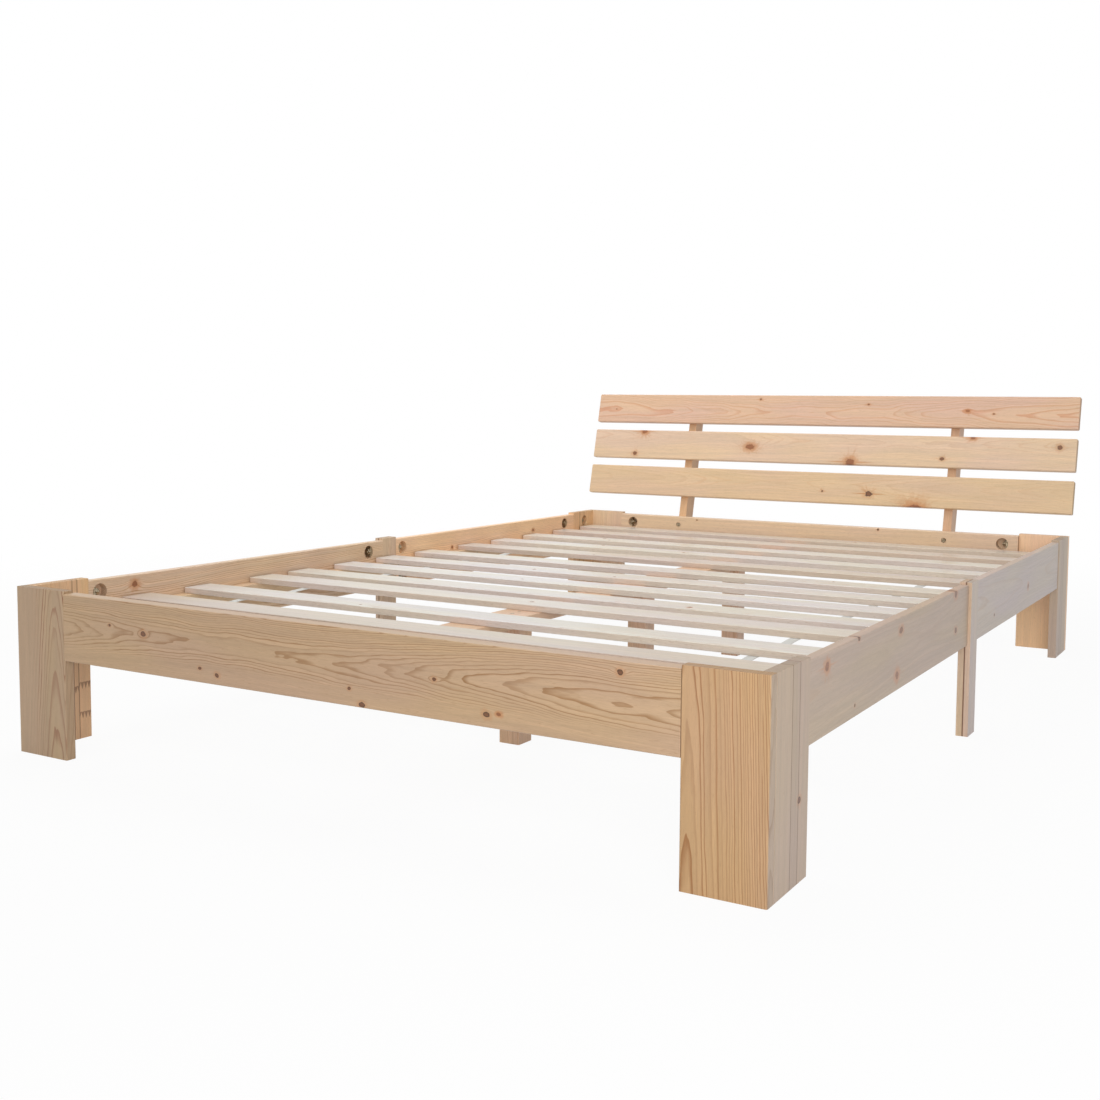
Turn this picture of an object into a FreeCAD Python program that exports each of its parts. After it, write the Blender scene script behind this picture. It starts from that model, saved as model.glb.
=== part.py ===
import FreeCAD, Part
import math
import os
from FreeCAD import Vector

# A double bed of plain softwood boards for a mattress of 1400 x 2000 mm.
# Six legs and four rails make the frame, loose slats on ledgers and a centre beam carry the
# mattress, and a headboard of three boards leans back on two uprights behind the head rail.
# Working frame: X across the bed, Y from the foot to the head, Z up from the floor.
# Y is zero at the front of the foot legs; the finished pieces are centred at the end.

os.makedirs("parts", exist_ok=True)

# Whole frame
bed_width = 1470.0
bed_length = 2080.0
leg_height = 305.0
leg_rise = 5.0
rail_height = 120.0
edge_round = 2.5
seam_round = 1.2
arris_round = 1.0
cut_overrun = 5.0

# Corner legs: a wide board across the bed and a narrower one along it
leg_thickness = 20.0
leg_end_board_width = 127.0
leg_side_board_width = 120.0
leg_corner_round = 3.0

# Rails
side_rail_thickness = 18.0
end_rail_thickness = 28.0

# Middle legs, glued up from layers
mid_leg_width = 52.0
mid_leg_inner_layer = 13.0
mid_leg_outer_layer = 11.0

# Slats, the ledgers that carry them and the webbing that spaces them
slat_count = 13
slat_width = 70.0
slat_thickness = 12.0
slat_drop = 40.0
slat_end_gap = 4.0
slat_margin = 29.0
slat_slip_shares = (0, 0, 0, 0.165, -0.095, -0.108, -0.139, -0.165, 0.038, 0.025, 0.063, 0.108, 0.127)
slat_round = 1.5
ledger_size = 28.0
ledger_end_gap = 2.0
strap_width = 18.0
strap_thickness = 1.2
strap_inset = 163.0

# Centre beam, its posts and its end cleats
beam_width = 80.0
beam_thickness = 18.0
post_size = 45.0
post_place_shares = (0.248, 0.5, 0.752)
cleat_size = 28.0
cleat_length = 160.0

# Headboard
lean_degrees = 13.2
headboard_width = 1480.0
headboard_slat_width = 90.0
headboard_slat_thickness = 18.0
headboard_slat_gap = 25.0
headboard_lift = 60.0
headboard_slat_names = ("lower", "middle", "upper")
headboard_round = 3.0
headboard_corner_round = 4.0
upright_width = 24.0
upright_depth = 48.0
upright_spacing = 816.0
upright_foot_rise = 10.0
upright_top_inset = 10.0

# Threaded rods with half-moon saddles and nuts, which draw the rails against the legs
rod_radius = 4.0
rod_hole_gap = 0.5
rod_depth = 8.0
rod_overhang = 3.0
rod_rise = 96.0
rod_spacing = 72.0
rod_blind_length = 60.0
pocket_radius = 16.0
pocket_depth = 16.0
foot_side_setback = 26.0
head_side_setback = 54.0
end_rail_setback = 42.0
leg_setback = 66.0
saddle_gap = 0.2
saddle_height = 12.0
saddle_flat = 8.0
nut_across_flats = 13.0
nut_thickness = 6.5
nut_bore_gap = 0.1

# Bolts of the uprights
bolt_radius = 3.0
bolt_head_radius = 5.0
bolt_head_length = 5.0
bolt_socket_radius = 2.5
bolt_socket_depth = 2.5
bolt_rise = 96.0
bolt_spacing = 62.0
bolt_hole_gap = 0.3
bolt_well_radius = 7.0
bolt_well_depth = 6.0
bolt_nut_across_flats = 10.0
bolt_nut_thickness = 5.0
nut_well_radius = 9.0
nut_well_depth = 12.0

# Wood screws
screw_radius = 2.0
screw_head_radius = 4.0
screw_head_depth = 2.5
screw_hole_gap = 0.1
ledger_screw_length = 40.0
ledger_screw_shares = (0.08, 0.36, 0.64, 0.92)
cleat_screw_length = 40.0
cleat_screw_spacing = 100.0
beam_end_screw_length = 38.0
beam_end_screw_spacing = 40.0
post_screw_length = 60.0
post_screw_spacing = 24.0
headboard_screw_length = 48.0
headboard_screw_spacing = 50.0
headboard_screw_well_radius = 4.5
headboard_screw_bite = 12.0

# Places that follow from the sizes above
outer_x = bed_width / 2
inner_x = outer_x - leg_thickness
leg_side_end = leg_thickness + leg_side_board_width
rail_top = leg_height - leg_rise
rail_bottom = rail_top - rail_height
mid_y = bed_length / 2
foot_inner_y = end_rail_thickness
head_inner_y = bed_length - end_rail_thickness
inner_length = head_inner_y - foot_inner_y
slat_top = rail_top - slat_drop
ledger_top = slat_top - slat_thickness
beam_bottom = ledger_top - beam_thickness
slat_pitch = (inner_length - 2 * slat_margin - slat_width) / (slat_count - 1)
rod_heights = (rail_bottom + rod_rise, rail_bottom + rod_rise - rod_spacing)
bolt_heights = (rail_bottom + bolt_rise, rail_bottom + bolt_rise - bolt_spacing)
lean = math.radians(lean_degrees)
upright_bottom = rail_bottom + upright_foot_rise
upright_reach = upright_depth / math.cos(lean)

UP = Vector(0, 0, 1)
ACROSS = Vector(1, 0, 0)
ALONG = Vector(0, 1, 0)

SIDES = {"left": -1, "right": 1}
ENDS = ("foot", "head")
NUT_SIDES = 6

pieces = {}
rods = []
nuts = []
saddles = []
ledger_screws = []
cleat_screws = []
beam_screws = []
headboard_screws = []
headboard_bolts = []
headboard_nuts = []


def block(x_range, y_range, z_range):
    """A square-edged block between two values on each axis, given in any order."""
    ranges = [sorted(pair) for pair in (x_range, y_range, z_range)]
    size = [high - low for low, high in ranges]
    return Part.makeBox(size[0], size[1], size[2], Vector(*[low for low, high in ranges]))


def edges_along(shape, direction):
    """The straight edges of a block that run along a direction."""
    found = []
    for edge in shape.Edges:
        start, end = edge.Vertexes[0].Point, edge.Vertexes[-1].Point
        run = end - start
        if abs(run.normalize().dot(direction)) > math.cos(math.radians(1)):
            found.append(edge)
    return found


def eased(shape, radius, *directions):
    """Rounds the edges of a block along the given directions, or all of its edges."""
    chosen = shape.Edges
    if directions:
        chosen = [edge for way in directions for edge in edges_along(shape, way)]
    return shape.makeFillet(radius, chosen)


def soften(shape, places, radius):
    """Rounds the upright edges whose middles lie at the given places."""
    chosen = []
    for place in places:
        chosen.extend(edge for edge in edges_along(shape, UP) if (edge.CenterOfMass - place).Length < radius)
    return shape.makeFillet(radius, chosen)


def ease_top(shape):
    """Takes the sharp arris off the outline of a board's top."""
    top = shape.BoundBox.ZMax
    outline = [edge for edge in shape.Edges if edge.BoundBox.ZMin > top - arris_round]
    return shape.makeFillet(arris_round, outline)


def cut_all(shape, cutters):
    """Takes every cutter out of a piece."""
    return shape.cut(Part.makeCompound(cutters)) if cutters else shape


def end_y(end, distance):
    """A place along the bed, measured inwards from its foot or its head."""
    return distance if end == "foot" else bed_length - distance


def inwards(end):
    """The direction along the bed that points from one end to the middle."""
    return ALONG if end == "foot" else -ALONG


def hexagon(centre, direction, across_flats, thickness, bore_radius):
    """A hexagon nut with a plain bore; the direction is level and the flats face up and down."""
    side = direction.cross(UP)
    corner_reach = across_flats / 2 / math.cos(math.pi / NUT_SIDES)
    corners = []
    for step in range(NUT_SIDES):
        turn = 2 * math.pi * step / NUT_SIDES
        corners.append(centre + (side * math.cos(turn) + UP * math.sin(turn)) * corner_reach)
    outline = Part.makePolygon(corners + corners[:1])
    solid = Part.Face(outline).extrude(direction * thickness)
    bore_start = centre - direction * cut_overrun
    return solid.cut(Part.makeCylinder(bore_radius, thickness + 2 * cut_overrun, bore_start, direction))


# Screws and bolts

def screw(head, direction, length, gap=0.0):
    """A countersunk wood screw, or with a gap the hole that it needs; head is the middle of its top."""
    cone = Part.makeCone(screw_head_radius + gap, screw_radius + gap, screw_head_depth, head, direction)
    shank = Part.makeCylinder(screw_radius + gap, length + gap, head, direction)
    return cone.fuse(shank)


def drive_screw(group, head, direction, length):
    """Adds a screw to its group and returns the hole for the pieces it passes through."""
    group.append(screw(head, direction, length))
    return screw(head, direction, length, screw_hole_gap)


# Rod joints: a pocket opens on the inner face of a board and the rod runs from it, inside the
# board, across the joint

def pocket(face_point, opening, cover=0.0):
    """The round pocket, as a cutter, with face_point on the board's face or a cover's depth below it."""
    floor_point = face_point - opening * pocket_depth
    return Part.makeCylinder(pocket_radius, pocket_depth + cover + cut_overrun, floor_point, opening)


def rod_tunnel(start, run):
    """The clearance hole of a rod, as a cutter."""
    return Part.makeCylinder(rod_radius + rod_hole_gap, run.Length, start, run)


def add_rod(start, run):
    rods.append(Part.makeCylinder(rod_radius, run.Length, start, run))


def add_saddle_and_nut(face_point, opening, direction):
    """The half-moon saddle against the pocket's wall, and the nut that pulls on it."""
    on_rod = face_point - opening * rod_depth
    base = on_rod - opening * (saddle_height / 2)
    disc = Part.makeCylinder(pocket_radius - saddle_gap, saddle_height, base, opening)
    half_room = pocket_radius + cut_overrun
    keep_low = on_rod + direction * saddle_flat
    keep_high = on_rod + direction * half_room
    side = opening * half_room + UP * half_room
    keeper = block(*zip(keep_low - side, keep_high + side))
    bore = rod_tunnel(on_rod, direction * half_room)
    saddles.append(disc.common(keeper).cut(bore))
    nut_start = on_rod + direction * (saddle_flat - nut_thickness)
    bore_radius = rod_radius + nut_bore_gap
    nuts.append(hexagon(nut_start, direction, nut_across_flats, nut_thickness, bore_radius))


def rod_between(near_face, far_face, opening):
    """A rod with a saddle and a nut in a pocket at each end; returns the cutters for its path."""
    run = far_face - near_face
    way = Vector(run).normalize()
    reach = way * (rod_overhang + nut_thickness - saddle_flat)
    start = near_face - opening * rod_depth - reach
    add_rod(start, run + reach * 2)
    add_saddle_and_nut(near_face, opening, way)
    add_saddle_and_nut(far_face, opening, -way)
    path = rod_tunnel(near_face - opening * rod_depth, run)
    return path, pocket(near_face, opening), pocket(far_face, opening)


def rod_into_leg(face_point, joint_distance, opening, way, cover):
    """A rod with one pocket, whose other end is screwed blind into the leg."""
    reach = rod_overhang + nut_thickness - saddle_flat
    axis_point = face_point - opening * rod_depth
    length = reach + joint_distance + rod_blind_length
    add_rod(axis_point - way * reach, way * length)
    add_saddle_and_nut(face_point, opening, way)
    path = rod_tunnel(axis_point, way * (joint_distance + rod_blind_length))
    return path, pocket(face_point, opening, cover)


def side_rod_cutters(side, end):
    """Both rods between one corner leg and its side rail."""
    opening = ACROSS * -SIDES[side]
    setback = foot_side_setback if end == "foot" else head_side_setback
    cutters = []
    for height in rod_heights:
        in_leg = Vector(SIDES[side] * inner_x, end_y(end, leg_side_end - leg_setback), height)
        in_rail = Vector(SIDES[side] * inner_x, end_y(end, leg_side_end + setback), height)
        cutters.extend(rod_between(in_rail, in_leg, opening))
    return cutters


def mid_rod_cutters(side):
    """Both rods that join the two halves of a side rail through the middle leg."""
    opening = ACROSS * -SIDES[side]
    cutters = []
    for height in rod_heights:
        before = Vector(SIDES[side] * inner_x, mid_y - mid_leg_width / 2 - head_side_setback, height)
        after = Vector(SIDES[side] * inner_x, mid_y + mid_leg_width / 2 + foot_side_setback, height)
        cutters.extend(rod_between(before, after, opening))
    return cutters


def end_rod_cutters(side, end):
    """Both rods between one corner leg and the thicker foot or head rail, centred for the leg."""
    way = ACROSS * SIDES[side]
    pocket_x = SIDES[side] * (outer_x - leg_end_board_width - end_rail_setback)
    cover = end_rail_thickness - leg_thickness
    cutters = []
    for height in rod_heights:
        face_point = Vector(pocket_x, end_y(end, leg_thickness), height)
        cutters.extend(rod_into_leg(face_point, end_rail_setback, inwards(end), way, cover))
    return cutters


# Legs

def corner_leg(side, end, side_cutters, end_cutters):
    """Two boards glued at right angles, with the outer corner of the wide one softly rounded."""
    sign = SIDES[side]
    free_x = outer_x - leg_end_board_width

    def edge_at(x, y):
        return Vector(sign * x, end_y(end, y), leg_height / 2)

    end_board = block(
        (sign * free_x, sign * outer_x),
        (end_y(end, 0), end_y(end, leg_thickness)),
        (0, leg_height))
    end_board = soften(end_board, [edge_at(outer_x, 0)], leg_corner_round)
    end_board = soften(end_board, [edge_at(free_x, 0), edge_at(free_x, leg_thickness)], edge_round)
    end_board = soften(end_board, [edge_at(outer_x, leg_thickness)], seam_round)
    end_board = ease_top(end_board)

    side_board = block(
        (sign * inner_x, sign * outer_x),
        (end_y(end, leg_thickness), end_y(end, leg_side_end)),
        (0, leg_height))
    both_ends = [edge_at(outer_x, leg_side_end), edge_at(outer_x, leg_thickness)]
    side_board = soften(side_board, both_ends, seam_round)
    side_board = ease_top(side_board)

    name = f"{end}_{side}_leg"
    pieces[f"{name}_end_board"] = cut_all(end_board, end_cutters)
    pieces[f"{name}_side_board"] = cut_all(side_board, side_cutters)


def middle_leg(side, cutters):
    """Two layers glued face to face, the rods pass through the inner one."""
    sign = SIDES[side]
    glue_x = inner_x + mid_leg_inner_layer
    for name, low, high in (("inner", inner_x, glue_x), ("outer", glue_x, glue_x + mid_leg_outer_layer)):
        layer = block(
            (sign * low, sign * high),
            (mid_y - mid_leg_width / 2, mid_y + mid_leg_width / 2),
            (0, leg_height))
        layer = ease_top(eased(layer, seam_round, UP))
        pieces[f"mid_{side}_leg_{name}_layer"] = cut_all(layer, cutters if name == "inner" else [])


# Rails

def side_rail_half(side, half, cutters):
    """Half a side rail, between a corner leg and the middle leg, flush with their inner faces."""
    sign = SIDES[side]
    end = "foot" if half == "front" else "head"
    rail = block(
        (sign * inner_x, sign * (inner_x + side_rail_thickness)),
        (end_y(end, leg_side_end), end_y(end, mid_y - mid_leg_width / 2)),
        (rail_bottom, rail_top))
    pieces[f"side_rail_{side}_{half}"] = cut_all(eased(rail, edge_round, ALONG), cutters)


def end_rail(end, cutters):
    """The foot or head rail, between the wide boards of two legs."""
    reach = outer_x - leg_end_board_width
    rail = block(
        (-reach, reach),
        (end_y(end, 0), end_y(end, end_rail_thickness)),
        (rail_bottom, rail_top))
    pieces[f"{end}_rail"] = cut_all(eased(rail, edge_round, ACROSS), cutters)


def ledger_half(side, half):
    """A square strip screwed to the rail; it runs on over the corner leg to carry the last slats."""
    sign = SIDES[side]
    end = "foot" if half == "front" else "head"
    strip = block(
        (sign * (inner_x - ledger_size), sign * inner_x),
        (end_y(end, end_rail_thickness + ledger_end_gap), end_y(end, mid_y - ledger_end_gap)),
        (ledger_top - ledger_size, ledger_top))
    rail_start = leg_side_end if half == "front" else mid_y + mid_leg_width / 2
    rail_length = mid_y - mid_leg_width / 2 - leg_side_end
    holes = []
    for share in ledger_screw_shares:
        head = Vector(
            sign * (inner_x - ledger_size),
            rail_start + share * rail_length,
            ledger_top - ledger_size / 2)
        holes.append(drive_screw(ledger_screws, head, ACROSS * sign, ledger_screw_length))
    pieces[f"ledger_{side}_{half}"] = cut_all(eased(strip, slat_round, ALONG), holes)
    return holes


# Slats and webbing

def slat_front(index):
    """Where the front edge of a slat lies along the bed; each has slipped a little from its place."""
    return foot_inner_y + slat_margin + slat_pitch * (index + slat_slip_shares[index])


def mattress_slats():
    reach = inner_x - slat_end_gap
    for index in range(slat_count):
        start = slat_front(index)
        slat = block((-reach, reach), (start, start + slat_width), (ledger_top, slat_top))
        pieces[f"slat_{index + 1:02d}"] = eased(slat, slat_round, ACROSS)


def straps():
    """Woven webbing under the slats keeps them apart."""
    for side, sign in SIDES.items():
        middle = sign * (inner_x - strap_inset)
        pieces[f"strap_{side}"] = block(
            (middle - strap_width / 2, middle + strap_width / 2),
            (slat_front(0), slat_front(slat_count - 1) + slat_width),
            (ledger_top - strap_thickness, ledger_top))


# Centre beam

def centre_beam():
    """Two flat boards end to end, on cleats at the ends and on posts between them."""
    posts_y = [foot_inner_y + share * inner_length for share in post_place_shares]
    beam_holes = []
    for place in posts_y:
        for offset in (-post_screw_spacing / 2, post_screw_spacing / 2):
            head = Vector(0, place + offset, ledger_top)
            beam_holes.append(drive_screw(beam_screws, head, -UP, post_screw_length))
    rail_holes = {}
    for end in ENDS:
        for offset in (-beam_end_screw_spacing / 2, beam_end_screw_spacing / 2):
            head = Vector(offset, end_y(end, end_rail_thickness + cleat_size / 2), ledger_top)
            beam_holes.append(drive_screw(beam_screws, head, -UP, beam_end_screw_length))
        rail_holes[end] = []
        for offset in (-cleat_screw_spacing / 2, cleat_screw_spacing / 2):
            head = Vector(
                offset,
                end_y(end, end_rail_thickness + cleat_size),
                beam_bottom - cleat_size / 2)
            rail_holes[end].append(drive_screw(cleat_screws, head, -inwards(end), cleat_screw_length))
        cleat = block(
            (-cleat_length / 2, cleat_length / 2),
            (end_y(end, end_rail_thickness), end_y(end, end_rail_thickness + cleat_size)),
            (beam_bottom - cleat_size, beam_bottom))
        cleat = eased(cleat, slat_round, ACROSS)
        pieces[f"beam_cleat_{end}"] = cut_all(cleat, rail_holes[end] + beam_holes)
    for half, start, stop in (("front", foot_inner_y, mid_y), ("rear", mid_y, head_inner_y)):
        beam = block((-beam_width / 2, beam_width / 2), (start, stop), (beam_bottom, ledger_top))
        pieces[f"centre_beam_{half}"] = cut_all(eased(beam, slat_round, ALONG), beam_holes)
    for name, place in zip(("front", "middle", "rear"), posts_y):
        post = block(
            (-post_size / 2, post_size / 2),
            (place - post_size / 2, place + post_size / 2),
            (0, beam_bottom))
        pieces[f"centre_post_{name}"] = cut_all(eased(post, edge_round, UP), beam_holes)
    return rail_holes


# Headboard

def lean_back(shape):
    """Tips a shape from upright to the headboard's lean and moves it to the head rail's top back edge."""
    shape.rotate(Vector(0, 0, 0), ACROSS, -lean_degrees)
    shape.translate(Vector(0, bed_length, rail_top))
    return shape


def headboard_slat_low(index):
    """The distance of a headboard slat's lower edge from the rail, along the lean."""
    return headboard_lift + index * (headboard_slat_width + headboard_slat_gap)


def headboard_screw_holes():
    """Screws from behind, sunk in wells, two where each slat crosses an upright."""
    holes = []
    well_depth = upright_depth + headboard_screw_bite - headboard_screw_length
    for sign in SIDES.values():
        for index in range(len(headboard_slat_names)):
            middle = headboard_slat_low(index) + headboard_slat_width / 2
            for offset in (-headboard_screw_spacing / 2, headboard_screw_spacing / 2):
                head = Vector(sign * upright_spacing / 2, upright_depth - well_depth, middle + offset)
                headboard_screws.append(lean_back(screw(head, -ALONG, headboard_screw_length)))
                holes.append(lean_back(screw(head, -ALONG, headboard_screw_length, screw_hole_gap)))
                well = Part.makeCylinder(headboard_screw_well_radius, well_depth + cut_overrun, head, ALONG)
                holes.append(lean_back(well))
    return holes


def headboard_bolt_holes():
    """Level bolts through the head rail into each upright, with the nut sunk in the back."""
    holes = []
    for sign in SIDES.values():
        for height in bolt_heights:
            axis_x = sign * upright_spacing / 2
            seat = Vector(axis_x, head_inner_y + bolt_well_depth, height)
            back_y = bed_length + upright_reach - (rail_top - height) * math.tan(lean)
            nut_seat = Vector(axis_x, back_y - nut_well_depth, height)
            shank_end = nut_seat + ALONG * (bolt_nut_thickness + bolt_radius / 2)
            hole_radius = bolt_radius + bolt_hole_gap
            head_well = bolt_well_depth + cut_overrun
            nut_well = nut_well_depth + 2 * cut_overrun
            holes.append(Part.makeCylinder(bolt_well_radius, head_well, seat - ALONG * head_well, ALONG))
            holes.append(Part.makeCylinder(hole_radius, (nut_seat - seat).Length, seat, ALONG))
            holes.append(Part.makeCylinder(nut_well_radius, nut_well, nut_seat, ALONG))
            head_start = seat - ALONG * bolt_head_length
            head = Part.makeCylinder(bolt_head_radius, bolt_head_length, head_start, ALONG)
            shank = Part.makeCylinder(bolt_radius, (shank_end - seat).Length, seat, ALONG)
            socket = Part.makeCylinder(bolt_socket_radius, bolt_socket_depth, head_start, ALONG)
            headboard_bolts.append(head.fuse(shank).cut(socket))
            bore = bolt_radius + nut_bore_gap
            nut = hexagon(nut_seat, ALONG, bolt_nut_across_flats, bolt_nut_thickness, bore)
            headboard_nuts.append(nut)
    return holes


def headboard_slats(screw_holes):
    reach = headboard_width / 2
    for index, name in enumerate(headboard_slat_names):
        low = headboard_slat_low(index)
        slat = block((-reach, reach), (-headboard_slat_thickness, 0), (low, low + headboard_slat_width))
        slat = eased(slat, headboard_corner_round, ALONG)
        slat = slat.makeFillet(headboard_round, outline_edges(slat))
        pieces[f"headboard_slat_{name}"] = cut_all(lean_back(slat), screw_holes)


def outline_edges(slat):
    """The edges round the front and back faces of a slat."""
    flat_y = (-headboard_slat_thickness, 0)
    middles = [(edge, edge.BoundBox) for edge in slat.Edges]
    return [edge for edge, box in middles if box.YLength < seam_round and
            any(abs(box.Center.y - value) < seam_round for value in flat_y)]


def uprights(screw_holes, bolt_holes):
    """A stick that leans back, bevelled below the rail's top so that it lies flat on the rail."""
    length = headboard_slat_low(len(headboard_slat_names) - 1) + headboard_slat_width - upright_top_inset
    up_lean = Vector(0, math.sin(lean), math.cos(lean))
    back = Vector(0, math.cos(lean), -math.sin(lean))
    bend = Vector(0, bed_length, rail_top)
    front_top = bend + up_lean * length
    back_top = front_top + back * upright_depth
    front_low = Vector(0, bed_length, upright_bottom)
    back_low_y = bed_length + upright_reach - (rail_top - upright_bottom) * math.tan(lean)
    back_low = Vector(0, back_low_y, upright_bottom)
    outline = Part.makePolygon([front_low, bend, front_top, back_top, back_low, front_low])
    for side, sign in SIDES.items():
        stick = Part.Face(outline).extrude(ACROSS * upright_width)
        stick.translate(ACROSS * (sign * upright_spacing / 2 - upright_width / 2))
        stick = eased(stick, seam_round, up_lean)
        pieces[f"headboard_upright_{side}"] = cut_all(stick, screw_holes + bolt_holes)


def build_all():
    mid_cuts = {side: mid_rod_cutters(side) for side in SIDES}
    headboard_screw_cuts = headboard_screw_holes()
    headboard_bolt_cuts = headboard_bolt_holes()
    cleat_cuts = centre_beam()
    for end in ENDS:
        cuts = {side: end_rod_cutters(side, end) for side in SIDES}
        bolt_cuts = headboard_bolt_cuts if end == "head" else []
        end_rail(end, cuts["left"] + cuts["right"] + cleat_cuts[end] + bolt_cuts)
        for side in SIDES:
            side_cuts = side_rod_cutters(side, end)
            corner_leg(side, end, side_cuts, cuts[side])
            half = "front" if end == "foot" else "rear"
            screw_cuts = ledger_half(side, half)
            side_rail_half(side, half, side_cuts + mid_cuts[side] + screw_cuts)
    for side in SIDES:
        middle_leg(side, mid_cuts[side])
    mattress_slats()
    straps()
    headboard_slats(headboard_screw_cuts)
    uprights(headboard_screw_cuts, headboard_bolt_cuts)
    pieces["connector_rods"] = Part.makeCompound(rods)
    pieces["connector_nuts"] = Part.makeCompound(nuts)
    pieces["connector_saddles"] = Part.makeCompound(saddles)
    pieces["ledger_screws"] = Part.makeCompound(ledger_screws)
    pieces["cleat_screws"] = Part.makeCompound(cleat_screws)
    pieces["beam_screws"] = Part.makeCompound(beam_screws)
    pieces["headboard_screws"] = Part.makeCompound(headboard_screws)
    pieces["headboard_bolts"] = Part.makeCompound(headboard_bolts)
    pieces["headboard_nuts"] = Part.makeCompound(headboard_nuts)


build_all()

# The origin is the middle of the whole bed's footprint, on the floor
whole = Part.makeCompound(list(pieces.values())).optimalBoundingBox(False, False)
to_origin = Vector(-whole.Center.x, -whole.Center.y, -whole.ZMin)
for name, shape in pieces.items():
    shape.translate(to_origin)
    shape.exportStep(f"parts/{name}.step")
    print(f"{name}: {len(shape.Solids)} solid(s), {shape.Volume / 1000:.1f} cm3, valid {shape.isValid()}")
print(f"{len(pieces)} pieces, {whole.XLength:.1f} x {whole.YLength:.1f} x {whole.ZLength:.1f} mm")
print(f"moved along the bed by {to_origin.y:.3f} mm")
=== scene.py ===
# %% [markdown]
# # A slatted double bed in plain pine
#
# The bed's boards arrive as finished solids, already at their real size and place. What is
# left to do here is what the eye judges first: the wood. Every board gets growth rings that
# run through its whole thickness, knots where this bed has them, and its own cut from the log.

# %% The fixed frame
import math
import random

import bmesh
import bpy
from mathutils import Matrix, Vector


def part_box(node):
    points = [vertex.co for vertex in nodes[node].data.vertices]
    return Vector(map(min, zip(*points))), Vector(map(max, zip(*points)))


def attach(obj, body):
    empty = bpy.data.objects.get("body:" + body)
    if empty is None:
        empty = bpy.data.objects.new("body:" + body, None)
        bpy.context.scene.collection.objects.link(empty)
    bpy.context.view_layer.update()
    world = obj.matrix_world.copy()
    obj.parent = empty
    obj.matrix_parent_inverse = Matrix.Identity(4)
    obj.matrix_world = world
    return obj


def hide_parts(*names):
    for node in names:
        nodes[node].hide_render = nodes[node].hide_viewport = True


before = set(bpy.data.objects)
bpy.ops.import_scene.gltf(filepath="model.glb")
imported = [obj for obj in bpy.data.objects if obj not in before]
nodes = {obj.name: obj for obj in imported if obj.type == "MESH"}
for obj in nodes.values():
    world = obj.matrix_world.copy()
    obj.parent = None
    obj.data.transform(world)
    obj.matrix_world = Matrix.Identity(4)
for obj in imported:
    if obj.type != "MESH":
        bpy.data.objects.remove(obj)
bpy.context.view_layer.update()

MM = 0.001

# %% [markdown]
# ## The camera
#
# A product photograph of a low bed is taken from the height of a crouching person, a little to
# one side. The camera could be nudged by eye until the picture looks right, but a board that
# should touch the picture's edge then never quite does. Here it stands where the photograph's
# straight edges say it stood, and a small shift moves its principal point off the middle.

# %% Camera
CAMERA_PLACE = Vector((1.345, -2.6189, 0.6462))
CAMERA_TURN = math.radians(29.321)
CAMERA_DIP = math.radians(4.424)
CAMERA_ROLL = math.radians(0.522)
IMAGE_SIDE_PX = 1100
FOCAL_PX = 1298.0
PRINCIPAL_PX = (607.6, 503.4)

camera_data = bpy.data.cameras.new("camera")
camera = bpy.data.objects.new("camera", camera_data)
bpy.context.scene.collection.objects.link(camera)
turn = Matrix.Rotation(CAMERA_TURN, 4, "Z")
dip = Matrix.Rotation(math.pi / 2 - CAMERA_DIP, 4, "X")
roll = Matrix.Rotation(CAMERA_ROLL, 4, "Z")
camera.matrix_world = Matrix.Translation(CAMERA_PLACE) @ turn @ dip @ roll
camera_data.lens = camera_data.sensor_width * FOCAL_PX / IMAGE_SIDE_PX
camera_data.shift_x = 0.5 - PRINCIPAL_PX[0] / IMAGE_SIDE_PX
camera_data.shift_y = PRINCIPAL_PX[1] / IMAGE_SIDE_PX - 0.5
camera_data.clip_start = 0.05
camera_data.clip_end = 200
bpy.context.scene.camera = camera
print(f"lens {camera_data.lens:.1f} mm")

# %% [markdown]
# ## A short way to write shader formulas
#
# A wood shader is mostly arithmetic on positions. Joining every Math node by hand hides the
# formula in long lists of links, so a small helper places a node, joins its inputs and hands
# back its output. Each formula below then reads from left to right.

# %% Shader writing helper
MIX_FIRST_COLOUR = 6
MIX_SECOND_COLOUR = 7
MIX_COLOUR = 2


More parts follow.
